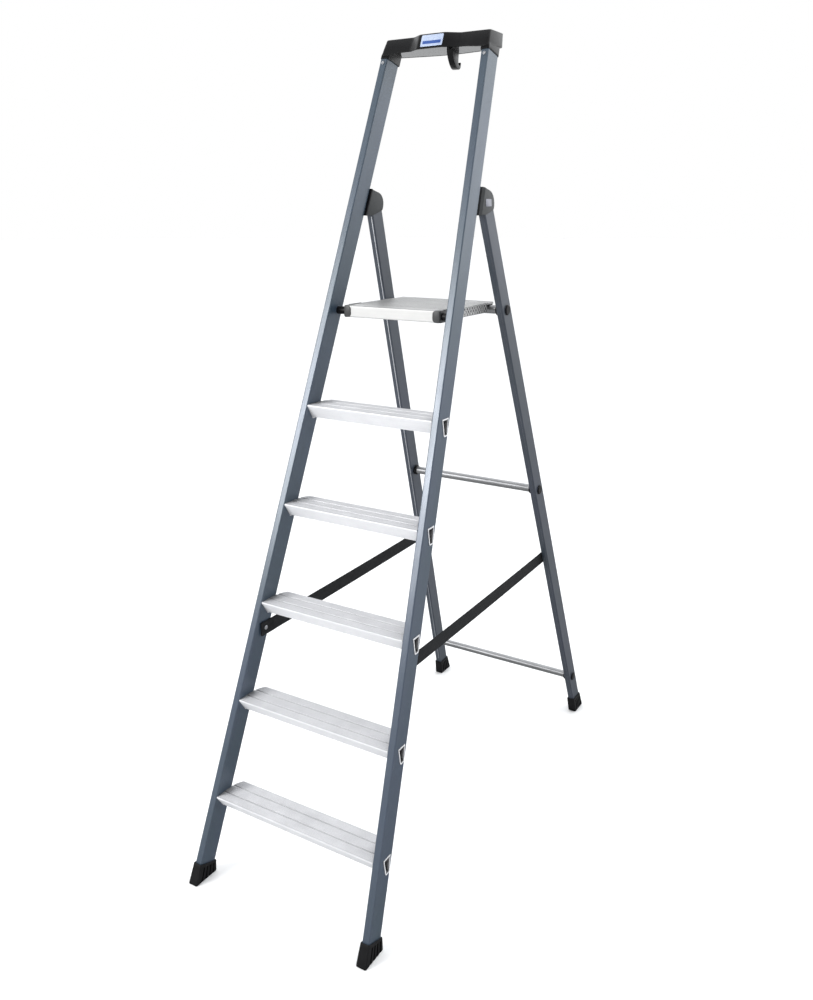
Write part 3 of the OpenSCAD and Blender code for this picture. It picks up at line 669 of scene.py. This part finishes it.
def finish_piece(o, mat, body, slot, *nodes):
    o.data.materials.clear()
    o.data.materials.append(mat)
    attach(o, body)
    if nodes:
        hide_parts(*nodes)
    return o


# ---------------------------------------------------------------- front feet


def foot_ring(bottom, top, t, inset=0.0, rib=0.0):
    """perimeter between the sole outline and the collar outline at height share t"""
    n = len(bottom)
    return [bottom[i].lerp(top[i], t) for i in range(n)]


def foot_outline(kind, w0, w1, d0, d1, r, ribs, depth):
    """(across, depth) outline with square ribs let into the rear half of both sides"""
    pts = []
    k = 5

    def arc(cx, cy, a0):
        for i in range(k + 1):
            a = math.radians(a0 + 90 * i / k)
            pts.append((cx + r * math.cos(a), cy + r * math.sin(a)))

    def side(x, y0, y1, out):
        span = y1 - y0
        s = 1 if span > 0 else -1
        lo, hi = min(y0, y1), max(y0, y1)
        cuts = []
        for a, b in ribs:
            a, b = lo + a * (hi - lo), lo + b * (hi - lo)
            cuts.append((a, b))
        seq = []
        for a, b in cuts:
            seq += [(x, a - 0.35), (x - out * depth, a + 0.35), (x - out * depth, b - 0.35), (x, b + 0.35)]
        if s < 0:
            seq = seq[::-1]
        pts.extend(seq)

    arc(w1 - r, d0 + r, -90)
    side(w1, d0 + r, d1 - r, 1)
    arc(w1 - r, d1 - r, 0)
    arc(w0 + r, d1 - r, 90)
    side(w0, d1 - r, d0 + r, -1)
    arc(w0 + r, d0 + r, 180)
    return pts


RIBS = [(0.19 + 0.205 * i, 0.275 + 0.205 * i) for i in range(4)]


def front_foot(side):
    name = "front_foot_%s_ribbed" % ("right" if side > 0 else "left")
    hw0, hw1 = 239.4, 267.4
    y0, y1 = -5.4, 68.4

    def level(t, g, depth):
        """ring at share t of the height; g draws it in"""
        a = foot_outline("f", hw0 + g, hw1 - g, y0 + g, y1 - g, 3.4, RIBS, depth)
        b = foot_outline("f", -STILE_W - 3.0 + g, 3.0 - g, -3.3 + g, STILE_D + 3.3 - g, 3.4, RIBS, depth)
        out = []
        for p, q in zip(a, b):
            w = P(side * p[0], p[1], 0)
            c = stile_pt(side, q[0], q[1], 54.0)
            out.append(w.lerp(c, t))
        return out

    rings = [level(0.0, 2.2, 0.0), level(0.006, 1.0, 0.4), level(0.03, 0.2, 2.0), level(0.10, 0.0, 2.6), level(0.45, 0.0, 2.6), level(0.70, 0.0, 2.6),
             level(0.80, 0.0, 2.2), level(0.825, 0.0, 0.0), level(0.97, 0.0, 0.0), level(0.995, 0.5, 0.0), level(1.0, 1.4, 0.0)]
    # down into the socket, round the stile
    inner = foot_outline("f", -STILE_W - 0.35, 0.35, -0.35, STILE_D + 0.35, 3.0, RIBS, 0.0)
    for us in (53.0, 31.0):
        rings.append([stile_pt(side, q[0], q[1], us) for q in inner])
    bm = ring_loft(rings)
    o = new_object(name, bm, sharp=math.radians(38))
    return finish_piece(o, M["rubber"], "front_frame", "foot_rubber", "front_foot_right" if side > 0 else "front_foot_left")


def rear_foot(side):
    name = "rear_foot_%s_ribbed" % ("right" if side > 0 else "left")
    c = ry(0)
    s0 = rs_at(0)
    hw0, hw1 = rw(s0) - LEG_W - 4.0, rw(s0) + 3.6

    def level(t, g, depth):
        a = foot_outline("r", hw0 + g, hw1 - g, c - 32.5 + g, c + 31.5 - g, 3.2, RIBS, depth)
        b = foot_outline("r", -LEG_W - 3.0 + g, 3.0 - g, -LEG_D / 2 - 3.2 + g, LEG_D / 2 + 3.2 - g, 3.2, RIBS, depth)
        out = []
        for p, q in zip(a, b):
            w = P(side * p[0], p[1], 0)
            # the collar's rim slopes: higher at the front of the leg
            share = (q[1] + LEG_D / 2) / LEG_D
            top = leg_pt(side, q[0], q[1], -s0 + 62.0 - 16.0 * share)
            out.append(w.lerp(top, t))
        return out

    rings = [level(0.0, 2.2, 0.0), level(0.006, 1.0, 0.4), level(0.03, 0.2, 1.8), level(0.10, 0.0, 2.3), level(0.45, 0.0, 2.3), level(0.70, 0.0, 2.3),
             level(0.80, 0.0, 2.0), level(0.825, 0.0, 0.0), level(0.97, 0.0, 0.0), level(0.995, 0.5, 0.0), level(1.0, 1.4, 0.0)]
    inner = foot_outline("r", -LEG_W - 0.35, 0.35, -LEG_D / 2 - 0.35, LEG_D / 2 + 0.35, 2.6, RIBS, 0.0)
    for dz in (-1.0, -26.0):
        ring = []
        for q in inner:
            share = (q[1] + LEG_D / 2) / LEG_D
            ring.append(leg_pt(side, q[0], q[1], -s0 + 62.0 - 16.0 * share + dz))
        rings.append(ring)
    bm = ring_loft(rings)
    o = new_object(name, bm, sharp=math.radians(38))
    return finish_piece(o, M["rubber"], "rear_frame", "foot_rubber", "rear_foot_right" if side > 0 else "rear_foot_left")


for s in (1, -1):
    front_foot(s)
    rear_foot(s)

# ---------------------------------------------------------------- tool tray

TRAY_TOP, TRAY_UNDER = 2009.5, 1977.0
HW = 146.6


def tray_front(x, lift=0.0):
    """depth of the tray's front face in front of the stiles, creased beside the label"""
    a = abs(x)
    if a <= 33:
        return -20.6 + 0.35 * (a / 33) ** 2 + 1.5 * lift
    if a <= 64:
        t = (a - 33) / 31
        return -20.25 + 17.25 * (0.72 * t + 0.28 * (1 - math.cos(math.pi * t)) / 2) + (1.5 + 4.0 * t) * lift
    return -3.0 + 5.5 * lift


def tray_back(x, hw):
    t = min(abs(x) / 142.0, 1.0)
    return 72 + 19 * math.cos(math.pi / 2 * t) ** 1.3


def tray_ring(g, hw, z, rc=6.0, lean=True):
    """level cut through the leaning tray at height z, drawn in by g"""
    zm = z(0, 0) if callable(z) else z
    lift = max(0.0, min(1.0, (zm - TRAY_UNDER) / 32.5))
    if hw > 140:
        hw -= 4.6 * lift
    hw = hw - g
    pts = []
    xs = [-hw + rc + i * 2 * (hw - rc) / 60 for i in range(61)]
    for c in (-64, -33, 33, 64):
        j = min(range(61), key=lambda i: abs(xs[i] - c))
        xs[j] = c
    for x in xs:
        pts.append((x, tray_front(x, lift) + g))
    f, b = tray_front(hw, lift) + g, tray_back(hw, hw) - g
    for i in range(1, 6):
        a = math.radians(-90 + i * 15)
        pts.append((hw - rc + rc * math.cos(a), f + rc + rc * math.sin(a)))
    rb = 11.0
    for i in range(0, 7):
        a = math.radians(i * 15)
        pts.append((hw - rb + rb * math.cos(a), b - rb + rb * math.sin(a)))
    for i in range(1, 40):
        x = hw - rb - i * 2 * (hw - rb) / 40
        pts.append((x, tray_back(x, hw) - g))
    for i in range(0, 7):
        a = math.radians(90 + i * 15)
        pts.append((-hw + rb + rb * math.cos(a), b - rb + rb * math.sin(a)))
    for i in range(1, 6):
        a = math.radians(180 + i * 15)
        pts.append((-hw + rc + rc * math.cos(a), f + rc + rc * math.sin(a)))
    out = []
    for x, v in pts:
        zz = z(x, v) if callable(z) else z
        u = (zz + v * sf_) / cf
        out.append(front(x, v, u))
    return out


def tray_bottom(x, v):
    """the band's lower edge dips at the stiles"""
    t = max(0.0, min(1.0, (abs(x) - 78) / 50))
    t = t * t * (3 - 2 * t)
    return TRAY_UNDER - 1.5 - 3.0 * t if v < 8 else TRAY_UNDER


def tray():
    inner = fw(2136) - STILE_W - 4
    rings = [tray_ring(9, HW, TRAY_UNDER), tray_ring(2.6, HW, TRAY_UNDER), tray_ring(2.2, HW, lambda x, v: tray_bottom(x, v) + 0.2), tray_ring(0.7, HW, lambda x, v: tray_bottom(x, v) - 0.4),
             tray_ring(0.0, HW, lambda x, v: tray_bottom(x, v) + 0.8), tray_ring(0.0, HW, TRAY_UNDER + 12),
             tray_ring(0.0, HW, TRAY_TOP - 2.2), tray_ring(0.35, HW, TRAY_TOP - 0.9), tray_ring(1.2, HW, TRAY_TOP - 0.2), tray_ring(2.2, HW, TRAY_TOP)]
    bm = ring_loft(rings)
    o = new_object("tool_tray_shell", bm, sharp=math.radians(34))
    # recess, with drafted walls and a rounded rim
    rec = [tray_ring(9.5, inner, TRAY_UNDER + 4), tray_ring(7.5, inner, TRAY_UNDER + 4.8), tray_ring(6.4, inner, TRAY_UNDER + 8), tray_ring(3.6, inner, TRAY_TOP - 2.5), tray_ring(2.8, inner, TRAY_TOP - 0.8), tray_ring(1.2, inner, TRAY_TOP + 0.4), tray_ring(0.8, inner, TRAY_TOP + 6)]
    cut = new_object("cut_recess", ring_loft(rec))
    cutters = [cut]
    # positions along the rear rim for small-tool holes; none are cut
    for k in range(6):
        x = -88 + 35.2 * k
        v = tray_back(x, HW) - 9.4
        if abs(x) > 75:
            continue
    boolean(o, cutters)
    # sockets that wrap the stile ends
    parts = [o]
    for s in (1, -1):
        out_ = round_rect(-STILE_W - 2.4, -1.4, 0.7, STILE_D + 2.8, 3.2)
        inn = round_rect(-STILE_W - 0.3, -0.3, 0.3, STILE_D + 0.3, 2.8)

        def lower(p):
            # the skirt's lower edge rises a little towards the rear
            return 2102.0 + 0.14 * p[1]

        def level(p, z):
            return (TRAY_UNDER + z + p[1] * sf_) / cf

        rings = [[stile_pt(s, p[0], p[1], lower(p) + 3) for p in inn], [stile_pt(s, p[0] * 0.5 + q[0] * 0.5, p[1] * 0.5 + q[1] * 0.5, lower(p)) for p, q in zip(inn, out_)],
                 [stile_pt(s, p[0], p[1], lower(p) + 0.8) for p in out_], [stile_pt(s, p[0], p[1], max(level(p, 0.6), lower(p) + 2)) for p in out_],
                 [stile_pt(s, p[0] - (3.6 if p[0] > -4 else 0), p[1] + (3.0 if p[1] < 4 else 0), level(p, 15)) for p in out_],
                 [stile_pt(s, p[0] - (4.6 if p[0] > -4 else 0), p[1] + (3.4 if p[1] < 4 else 0), level(p, 15)) for p in inn]]
        sk = new_object("skirt", ring_loft(rings, cap=(False, False)))
        bmx = bmesh.new()
        bmx.from_mesh(sk.data)
        # close the sleeve between its first and last rings
        n = len(inn)
        bmx.verts.ensure_lookup_table()
        a, b = bmx.verts[:n], bmx.verts[-n:]
        for i in range(n):
            j = (i + 1) % n
            bmx.faces.new((a[i], a[j], b[j], b[i]))
        bmesh.ops.recalc_face_normals(bmx, faces=bmx.faces)
        bmx.to_mesh(sk.data)
        bmx.free()
        parts.append(sk)
    join(parts)
    return finish_piece(o, M["tray"], "front_frame", "tray_plastic", "tool_tray")


def join(parts):
    """several meshes as one object, the first"""
    bm = bmesh.new()
    for p in parts:
        bm.from_mesh(p.data)
    first = parts[0]
    bm.to_mesh(first.data)
    bm.free()
    for p in parts[1:]:
        m = p.data
        bpy.data.objects.remove(p)
        bpy.data.meshes.remove(m)
    return first


tray()


def tray_label():
    """thin panel with rounded corners on the crown of the tray's front face"""
    w, h = 29.3, 14.1
    pts = round_rect(LABEL_X - w, -h, LABEL_X + w, h, 2.6)

    def place(p, a):
        u = LABEL_U + p[1]
        lift = (u * cf + 20.4 * sf_ - TRAY_UNDER) / 32.5
        return front(p[0], tray_front(p[0], lift) - a, u)

    bm = prism(pts, place, 0.0, 1.0)
    bevel_sharp(bm, 0.0004, 2, 40)
    o = new_object("tray_panel", bm)
    return finish_piece(o, M["label"], "front_frame", "label_blue", "tray_label")


tray_label()


def bucket_hook():
    pts = [(761, TRAY_UNDER + 0.6), (764.2, 1966), (769.5, 1955), (776.5, 1945.5), (784, 1938.8), (791, 1936.3), (798, 1936.2), (803.2, 1938.2), (806.6, 1943),
           (808, 1951.0), (806, 1953.0), (804, 1951.8), (802.4, 1947.6), (799.6, 1945.6), (796.4, 1946.4), (794.4, 1950), (794.4, 1960), (797, TRAY_UNDER + 0.6)]
    pts = fillet(pts, [0, 20, 20, 12, 10, 8, 6, 5, 6, 1.4, 1.0, 1.4, 3, 2.5, 3, 4, 10, 0], 3)
    bm = prism(pts, lambda p, a: P(a, p[0], p[1]), 22.2, 37.8)
    bevel_sharp(bm, 0.0013, 3, 45)
    o = new_object("bucket_hook_moulded", bm)
    return finish_piece(o, M["tray"], "front_frame", "tray_plastic", "bucket_hook")


bucket_hook()

# ---------------------------------------------------------------- hinge hoods

LEG_MID = REAR_HALF - LEG_W / 2
BR_HALF = LEG_W / 2 + 1.5 + 2.5


def bracket_pt(side, xb, v, u):
    """the bracket's own frame, which follows the stile's splay about the pivot"""
    du = u - HU
    x = LEG_MID + xb * math.cos(FS) - du * math.sin(FS)
    uu = HU + xb * math.sin(FS) + du * math.cos(FS)
    return front(side * x, v, uu)


def hood(side):
    outline = [(-37.5, 24.4), (-37.5, -44.4), (-8, -32.4), (14, -17), (28.2, -5.5)]
    for i in range(0, 9):
        a = math.radians(-6 + i * 13.0)
        outline.append((28.9 * math.cos(a), 28.9 * math.sin(a) - 0.3 * i / 8))
    outline += [(-20, 26.2)]
    outline = fillet(outline, [1.5, 2.5, 8, 10, 3] + [0] * 9 + [6])
    bm = prism(outline, lambda p, a: bracket_pt(side, a, HV + p[0], HU + p[1]), -BR_HALF, BR_HALF)
    bevel_sharp(bm, 0.0024, 3, 40, pick=lambda e: True)
    o = new_object("hinge_hood_%s" % ("right" if side > 0 else "left"), bm)
    hollow = [(-32.5, 21.4), (-32.5, -70), (80, -70), (80, -7), (24.4, 8.4)]
    for i in range(0, 6):
        a = math.radians(20 + i * 14)
        hollow.append((25.8 * math.cos(a), 25.8 * math.sin(a)))
    hb = prism(hollow, lambda p, a: bracket_pt(side, a, HV + p[0], HU + p[1]), -LEG_W / 2 - 1.5, LEG_W / 2 + 1.5)
    cut = new_object("cut_hood", hb, smooth=False)
    ring = [(4.05 * math.cos(math.radians(i * 15)), 4.05 * math.sin(math.radians(i * 15))) for i in range(24)]
    pin = prism(ring, lambda p, a: front(side * (LEG_MID + a), HV + p[0], HU + p[1]), -LEG_W / 2 - 3.3, 40)
    cut2 = new_object("cut_pin", pin, smooth=False)
    cuts = [cut, cut2]
    # the outer front corner is cut back
    wedge = [(BR_HALF - 6.02, -39.5), (BR_HALF + 3.75, -39.5), (BR_HALF + 3.75, -24.08)]
    cuts.append(new_object("cut_corner", prism(wedge, lambda p, a: bracket_pt(side, p[0], HV + p[1], HU + a), -60, 40), smooth=False))
    for du in (-31, 15):
        r = [(2.6 * math.cos(math.radians(i * 15)), 2.6 * math.sin(math.radians(i * 15))) for i in range(24)]
        xr_ = fw(HU) - LEG_MID - STILE_W / 2
        rv = prism(r, lambda p, a, du=du: bracket_pt(side, xr_ + p[0], a, HU + du + p[1]), STILE_D + 2, STILE_D + 10)
        cuts.append(new_object("cut_rivet", rv, smooth=False))
    boolean(o, cuts)
    return finish_piece(o, M["hood"], "front_frame", "hinge_plastic", "hinge_bracket_right" if side > 0 else "hinge_bracket_left")


for s in (1, -1):
    hood(s)


def hood_label():
    c, s = math.cos(FL), math.sin(FL)
    pts = round_rect(-20.5, -8.5, 11.0, 8.5, 2.2)

    def place(p, a):
        v, u = p[0] * c - p[1] * s, p[0] * s + p[1] * c
        return bracket_pt(1, BR_HALF + a, HV + v, HU + u)

    bm = prism(pts, place, 0.02, 0.6)
    bevel_sharp(bm, 0.00025, 2, 40)
    o = new_object("hood_panel", bm)
    return finish_piece(o, M["white_label"], "front_frame", "label_white", "bracket_label")


hood_label()

# ---------------------------------------------------------------- platform end caps

PLAT_HW, PLAT_Z, PLAT_Y, PLAT_H = 136.0, 1389.0, 540.0, 28.0


def end_cap(side):
    """plug that closes the front beam: a D-shaped lip over the fascia and a tongue along the deck's edge"""
    zc = PLAT_Z - PLAT_H / 2
    h = PLAT_H / 2 + 0.45
    body = fillet([(PLAT_Y - 0.5, zc - h), (PLAT_Y + 29.6, zc - h), (PLAT_Y + 29.6, zc + h), (PLAT_Y - 0.5, zc + h)], [5.5, 4, 4, 5.5], 6)
    bm = prism(body, lambda p, a: P(side * a, p[0], p[1]), PLAT_HW - 15.8, PLAT_HW - 0.1)
    bevel_sharp(bm, 0.0016, 3, 40, pick=lambda e: all(abs(abs(v.co.x) - (PLAT_HW - 0.1) * 0.001) < 1e-5 for v in e.verts))
    o = new_object("platform_cap_%s" % ("right" if side > 0 else "left"), bm)
    bore = [(PLAT_Y + 14 + 4.1 * math.cos(math.radians(i * 15)), zc + 4.1 * math.sin(math.radians(i * 15))) for i in range(24)]
    boolean(o, [new_object("cut_bore", prism(bore, lambda p, a: P(side * a, p[0], p[1]), PLAT_HW - 30, PLAT_HW + 10), smooth=False)])
    lip = fillet([(PLAT_HW - 20.5, zc - h + 0.4), (PLAT_HW - 2, zc - h + 0.4), (PLAT_HW - 2, zc + h - 0.4), (PLAT_HW - 20.5, zc + h - 0.4)], [10.5, 3, 3, 10.5], 8)
    b2 = prism(lip, lambda p, a: P(side * p[0], a, p[1]), PLAT_Y - 1.5, PLAT_Y + 3)
    bevel_sharp(b2, 0.0006, 2, 45, pick=lambda e: all(v.co.y < (PLAT_Y - 1 - YM) * 0.001 for v in e.verts))
    o2 = new_object("lip", b2)
    tongue = fillet([(PLAT_HW - 4.6, PLAT_Y + 20), (PLAT_HW - 0.2, PLAT_Y + 20), (PLAT_HW - 0.2, PLAT_Y + 72), (PLAT_HW - 4.6, PLAT_Y + 72)], [0, 0, 2, 2], 4)
    b3 = prism(tongue, lambda p, a: P(side * p[0], p[1], a), PLAT_Z - 0.5, PLAT_Z + 1.3)
    bevel_sharp(b3, 0.0004, 2, 45)
    o3 = new_object("tongue", b3)
    join([o, o2, o3])
    return finish_piece(o, M["cap"], "platform", "black_plastic", "platform_end_cap_right" if side > 0 else "platform_end_cap_left")


for s in (1, -1):
    end_cap(s)

# ---------------------------------------------------------------- straps

STRAP_ZF, STRAP_ZR, SF_V = 611.0, 619.0, 36.0
SF_U = (STRAP_ZF + 36 * sf_) / cf
SF_Y, SR_Y = fy(SF_V, SF_U), ry(STRAP_ZR)
XF = fw(SF_U) - STILE_W / math.cos(FS)
XR = rw(rs_at(STRAP_ZR)) - LEG_W
STRAP_OFF = 3.0


def strap(side):
    """webbing with turned-back, stitched ends, riveted to the stile and to the leg"""
    n = 150
    y0, y1 = SF_Y - 18, SR_Y + 18
    half_w, t = 18.7, 0.82
    rings = []
    for i in range(n + 1):
        q = i / n
        y = y0 + (y1 - y0) * q
        x = (XF - STRAP_OFF) + (XR - XF) * (y - SF_Y) / (SR_Y - SF_Y)
        z = STRAP_ZF + (STRAP_ZR - STRAP_ZF) * (y - SF_Y) / (SR_Y - SF_Y)
        # a taut strap still hangs a little, and its edges curl by a hair
        z -= 2.2 * 4 * q * (1 - q)
        end = min(y - y0, y1 - y)
        hw = half_w if end > 3 else half_w - 1.2 * (1 - end / 3) ** 2
        # the end is folded back on itself for 52 mm
        extra = 0.0 if end > 54 else (0.55 if end < 52 else 0.55 * (54 - end) / 2)
        bow = 0.25 * math.sin(q * math.pi * 5) * (0 if end < 60 else 1)
        ring = []
        prof = [(-hw, 0), (-hw + 0.5, -t * 0.8), (-hw + 2.2, -t), (-hw * 0.5, -t * 0.94), (0, -t * 0.9), (hw * 0.5, -t * 0.94), (hw - 2.2, -t), (hw - 0.5, -t * 0.8),
                (hw, 0), (hw - 0.5, t * 0.8), (hw - 2.2, t), (hw * 0.5, t * 0.94), (0, t * 0.9), (-hw * 0.5, t * 0.94), (-hw + 2.2, t), (-hw + 0.5, t * 0.8)]
        for h, d in prof:
            ring.append(P(side * (x - d - (extra if d > 0 else 0) + bow * (1 - (h / hw) ** 2)), y, z + h))
        rings.append(ring)
    bm = ring_loft(rings)
    # stitches across the turned-back ends
    for end_y, sgn in ((y0, 1), (y1, -1)):
        for row in (6.0, 30.0, 44.0, 49.0):
            y = end_y + sgn * row
            for k in range(13):
                h = -16 + k * 32 / 12
                if abs(row - 18) < 8:
                    continue
                x = (XF - STRAP_OFF) + (XR - XF) * (y - SF_Y) / (SR_Y - SF_Y)
                z = STRAP_ZF + (STRAP_ZR - STRAP_ZF) * (y - SF_Y) / (SR_Y - SF_Y)
                for face in (1,):
                    xs = x - face * (t + 0.55)
                    c = [P(side * (xs - 0.05), y - 0.28, z + h - 0.95), P(side * (xs - 0.05), y + 0.28, z + h - 0.95), P(side * (xs - 0.05), y + 0.28, z + h + 0.95), P(side * (xs - 0.05), y - 0.28, z + h + 0.95)]
                    d = [P(side * (xs - 0.32), y - 0.16, z + h - 0.6), P(side * (xs - 0.32), y + 0.16, z + h - 0.6), P(side * (xs - 0.32), y + 0.16, z + h + 0.6), P(side * (xs - 0.32), y - 0.16, z + h + 0.6)]
                    e = [P(side * (xs + 0.4), y - 0.28, z + h - 0.95), P(side * (xs + 0.4), y + 0.28, z + h - 0.95), P(side * (xs + 0.4), y + 0.28, z + h + 0.95), P(side * (xs + 0.4), y - 0.28, z + h + 0.95)]
                    rows = [[bm.verts.new(p) for p in r] for r in (e, c, d)]
                    for ra, rb in zip(rows, rows[1:]):
                        for a in range(4):
                            b = (a + 1) % 4
                            bm.faces.new((ra[a], ra[b], rb[b], rb[a]))
                    bm.faces.new(list(reversed(rows[0])))
                    bm.faces.new(rows[-1])
    o = new_object("strap_webbing_%s" % ("right" if side > 0 else "left"), bm, sharp=math.radians(60))
    o.data.materials.append(M["web"])
    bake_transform(o)
    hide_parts("strap_right" if side > 0 else "strap_left")
    return o


for s in (1, -1):
    strap(s)

# ---------------------------------------------------------------- floor


def floor():
    bm = bmesh.new()
    bmesh.ops.create_circle(bm, cap_ends=True, segments=96, radius=60.0)
    me = bpy.data.meshes.new("floor")
    bm.to_mesh(me)
    bm.free()
    o = bpy.data.objects.new("floor", me)
    bpy.context.scene.collection.objects.link(o)
    o.location = (0, 0, -0.0004)
    m = bpy.data.materials.new("pale_floor")
    m.use_nodes = True
    nt = m.node_tree
    nt.nodes.clear()
    out = nt.nodes.new("ShaderNodeOutputMaterial")
    pale = nt.nodes.new("ShaderNodeBsdfDiffuse")
    pale.inputs["Color"].default_value = (FLOOR, FLOOR, FLOOR, 1)
    dim = nt.nodes.new("ShaderNodeBsdfDiffuse")
    # mirrored in the metal, the floor near the object is darker than far away
    tc = nt.nodes.new("ShaderNodeTexCoord")
    ln = nt.nodes.new("ShaderNodeVectorMath")
    ln.operation = "LENGTH"
    nt.links.new(tc.outputs["Object"], ln.inputs[0])
    near = nt.nodes.new("ShaderNodeMapRange")
    for k, v in (("From Min", 0.5), ("From Max", 1.3), ("To Min", FLOOR_NEAR), ("To Max", FLOOR_MID)):
        near.inputs[k].default_value = v
    nt.links.new(ln.outputs["Value"], near.inputs["Value"])
    far = nt.nodes.new("ShaderNodeMapRange")
    for k, v in (("From Min", 1.5), ("From Max", 12.0), ("To Min", 0.0), ("To Max", FLOOR_FAR - FLOOR_MID)):
        far.inputs[k].default_value = v
    nt.links.new(ln.outputs["Value"], far.inputs["Value"])
    tot = nt.nodes.new("ShaderNodeMath")
    tot.operation = "ADD"
    nt.links.new(near.outputs[0], tot.inputs[0])
    nt.links.new(far.outputs[0], tot.inputs[1])
    nt.links.new(tot.outputs[0], dim.inputs["Color"])
    lp = nt.nodes.new("ShaderNodeLightPath")
    mx = nt.nodes.new("ShaderNodeMixShader")
    nt.links.new(lp.outputs["Is Glossy Ray"], mx.inputs[0])
    nt.links.new(pale.outputs[0], mx.inputs[1])
    nt.links.new(dim.outputs[0], mx.inputs[2])
    nt.links.new(mx.outputs[0], out.inputs["Surface"])
    me.materials.append(m)


FLOOR, FLOOR_NEAR, FLOOR_MID, FLOOR_FAR = 0.96, 0.22, 0.38, 0.70
floor()
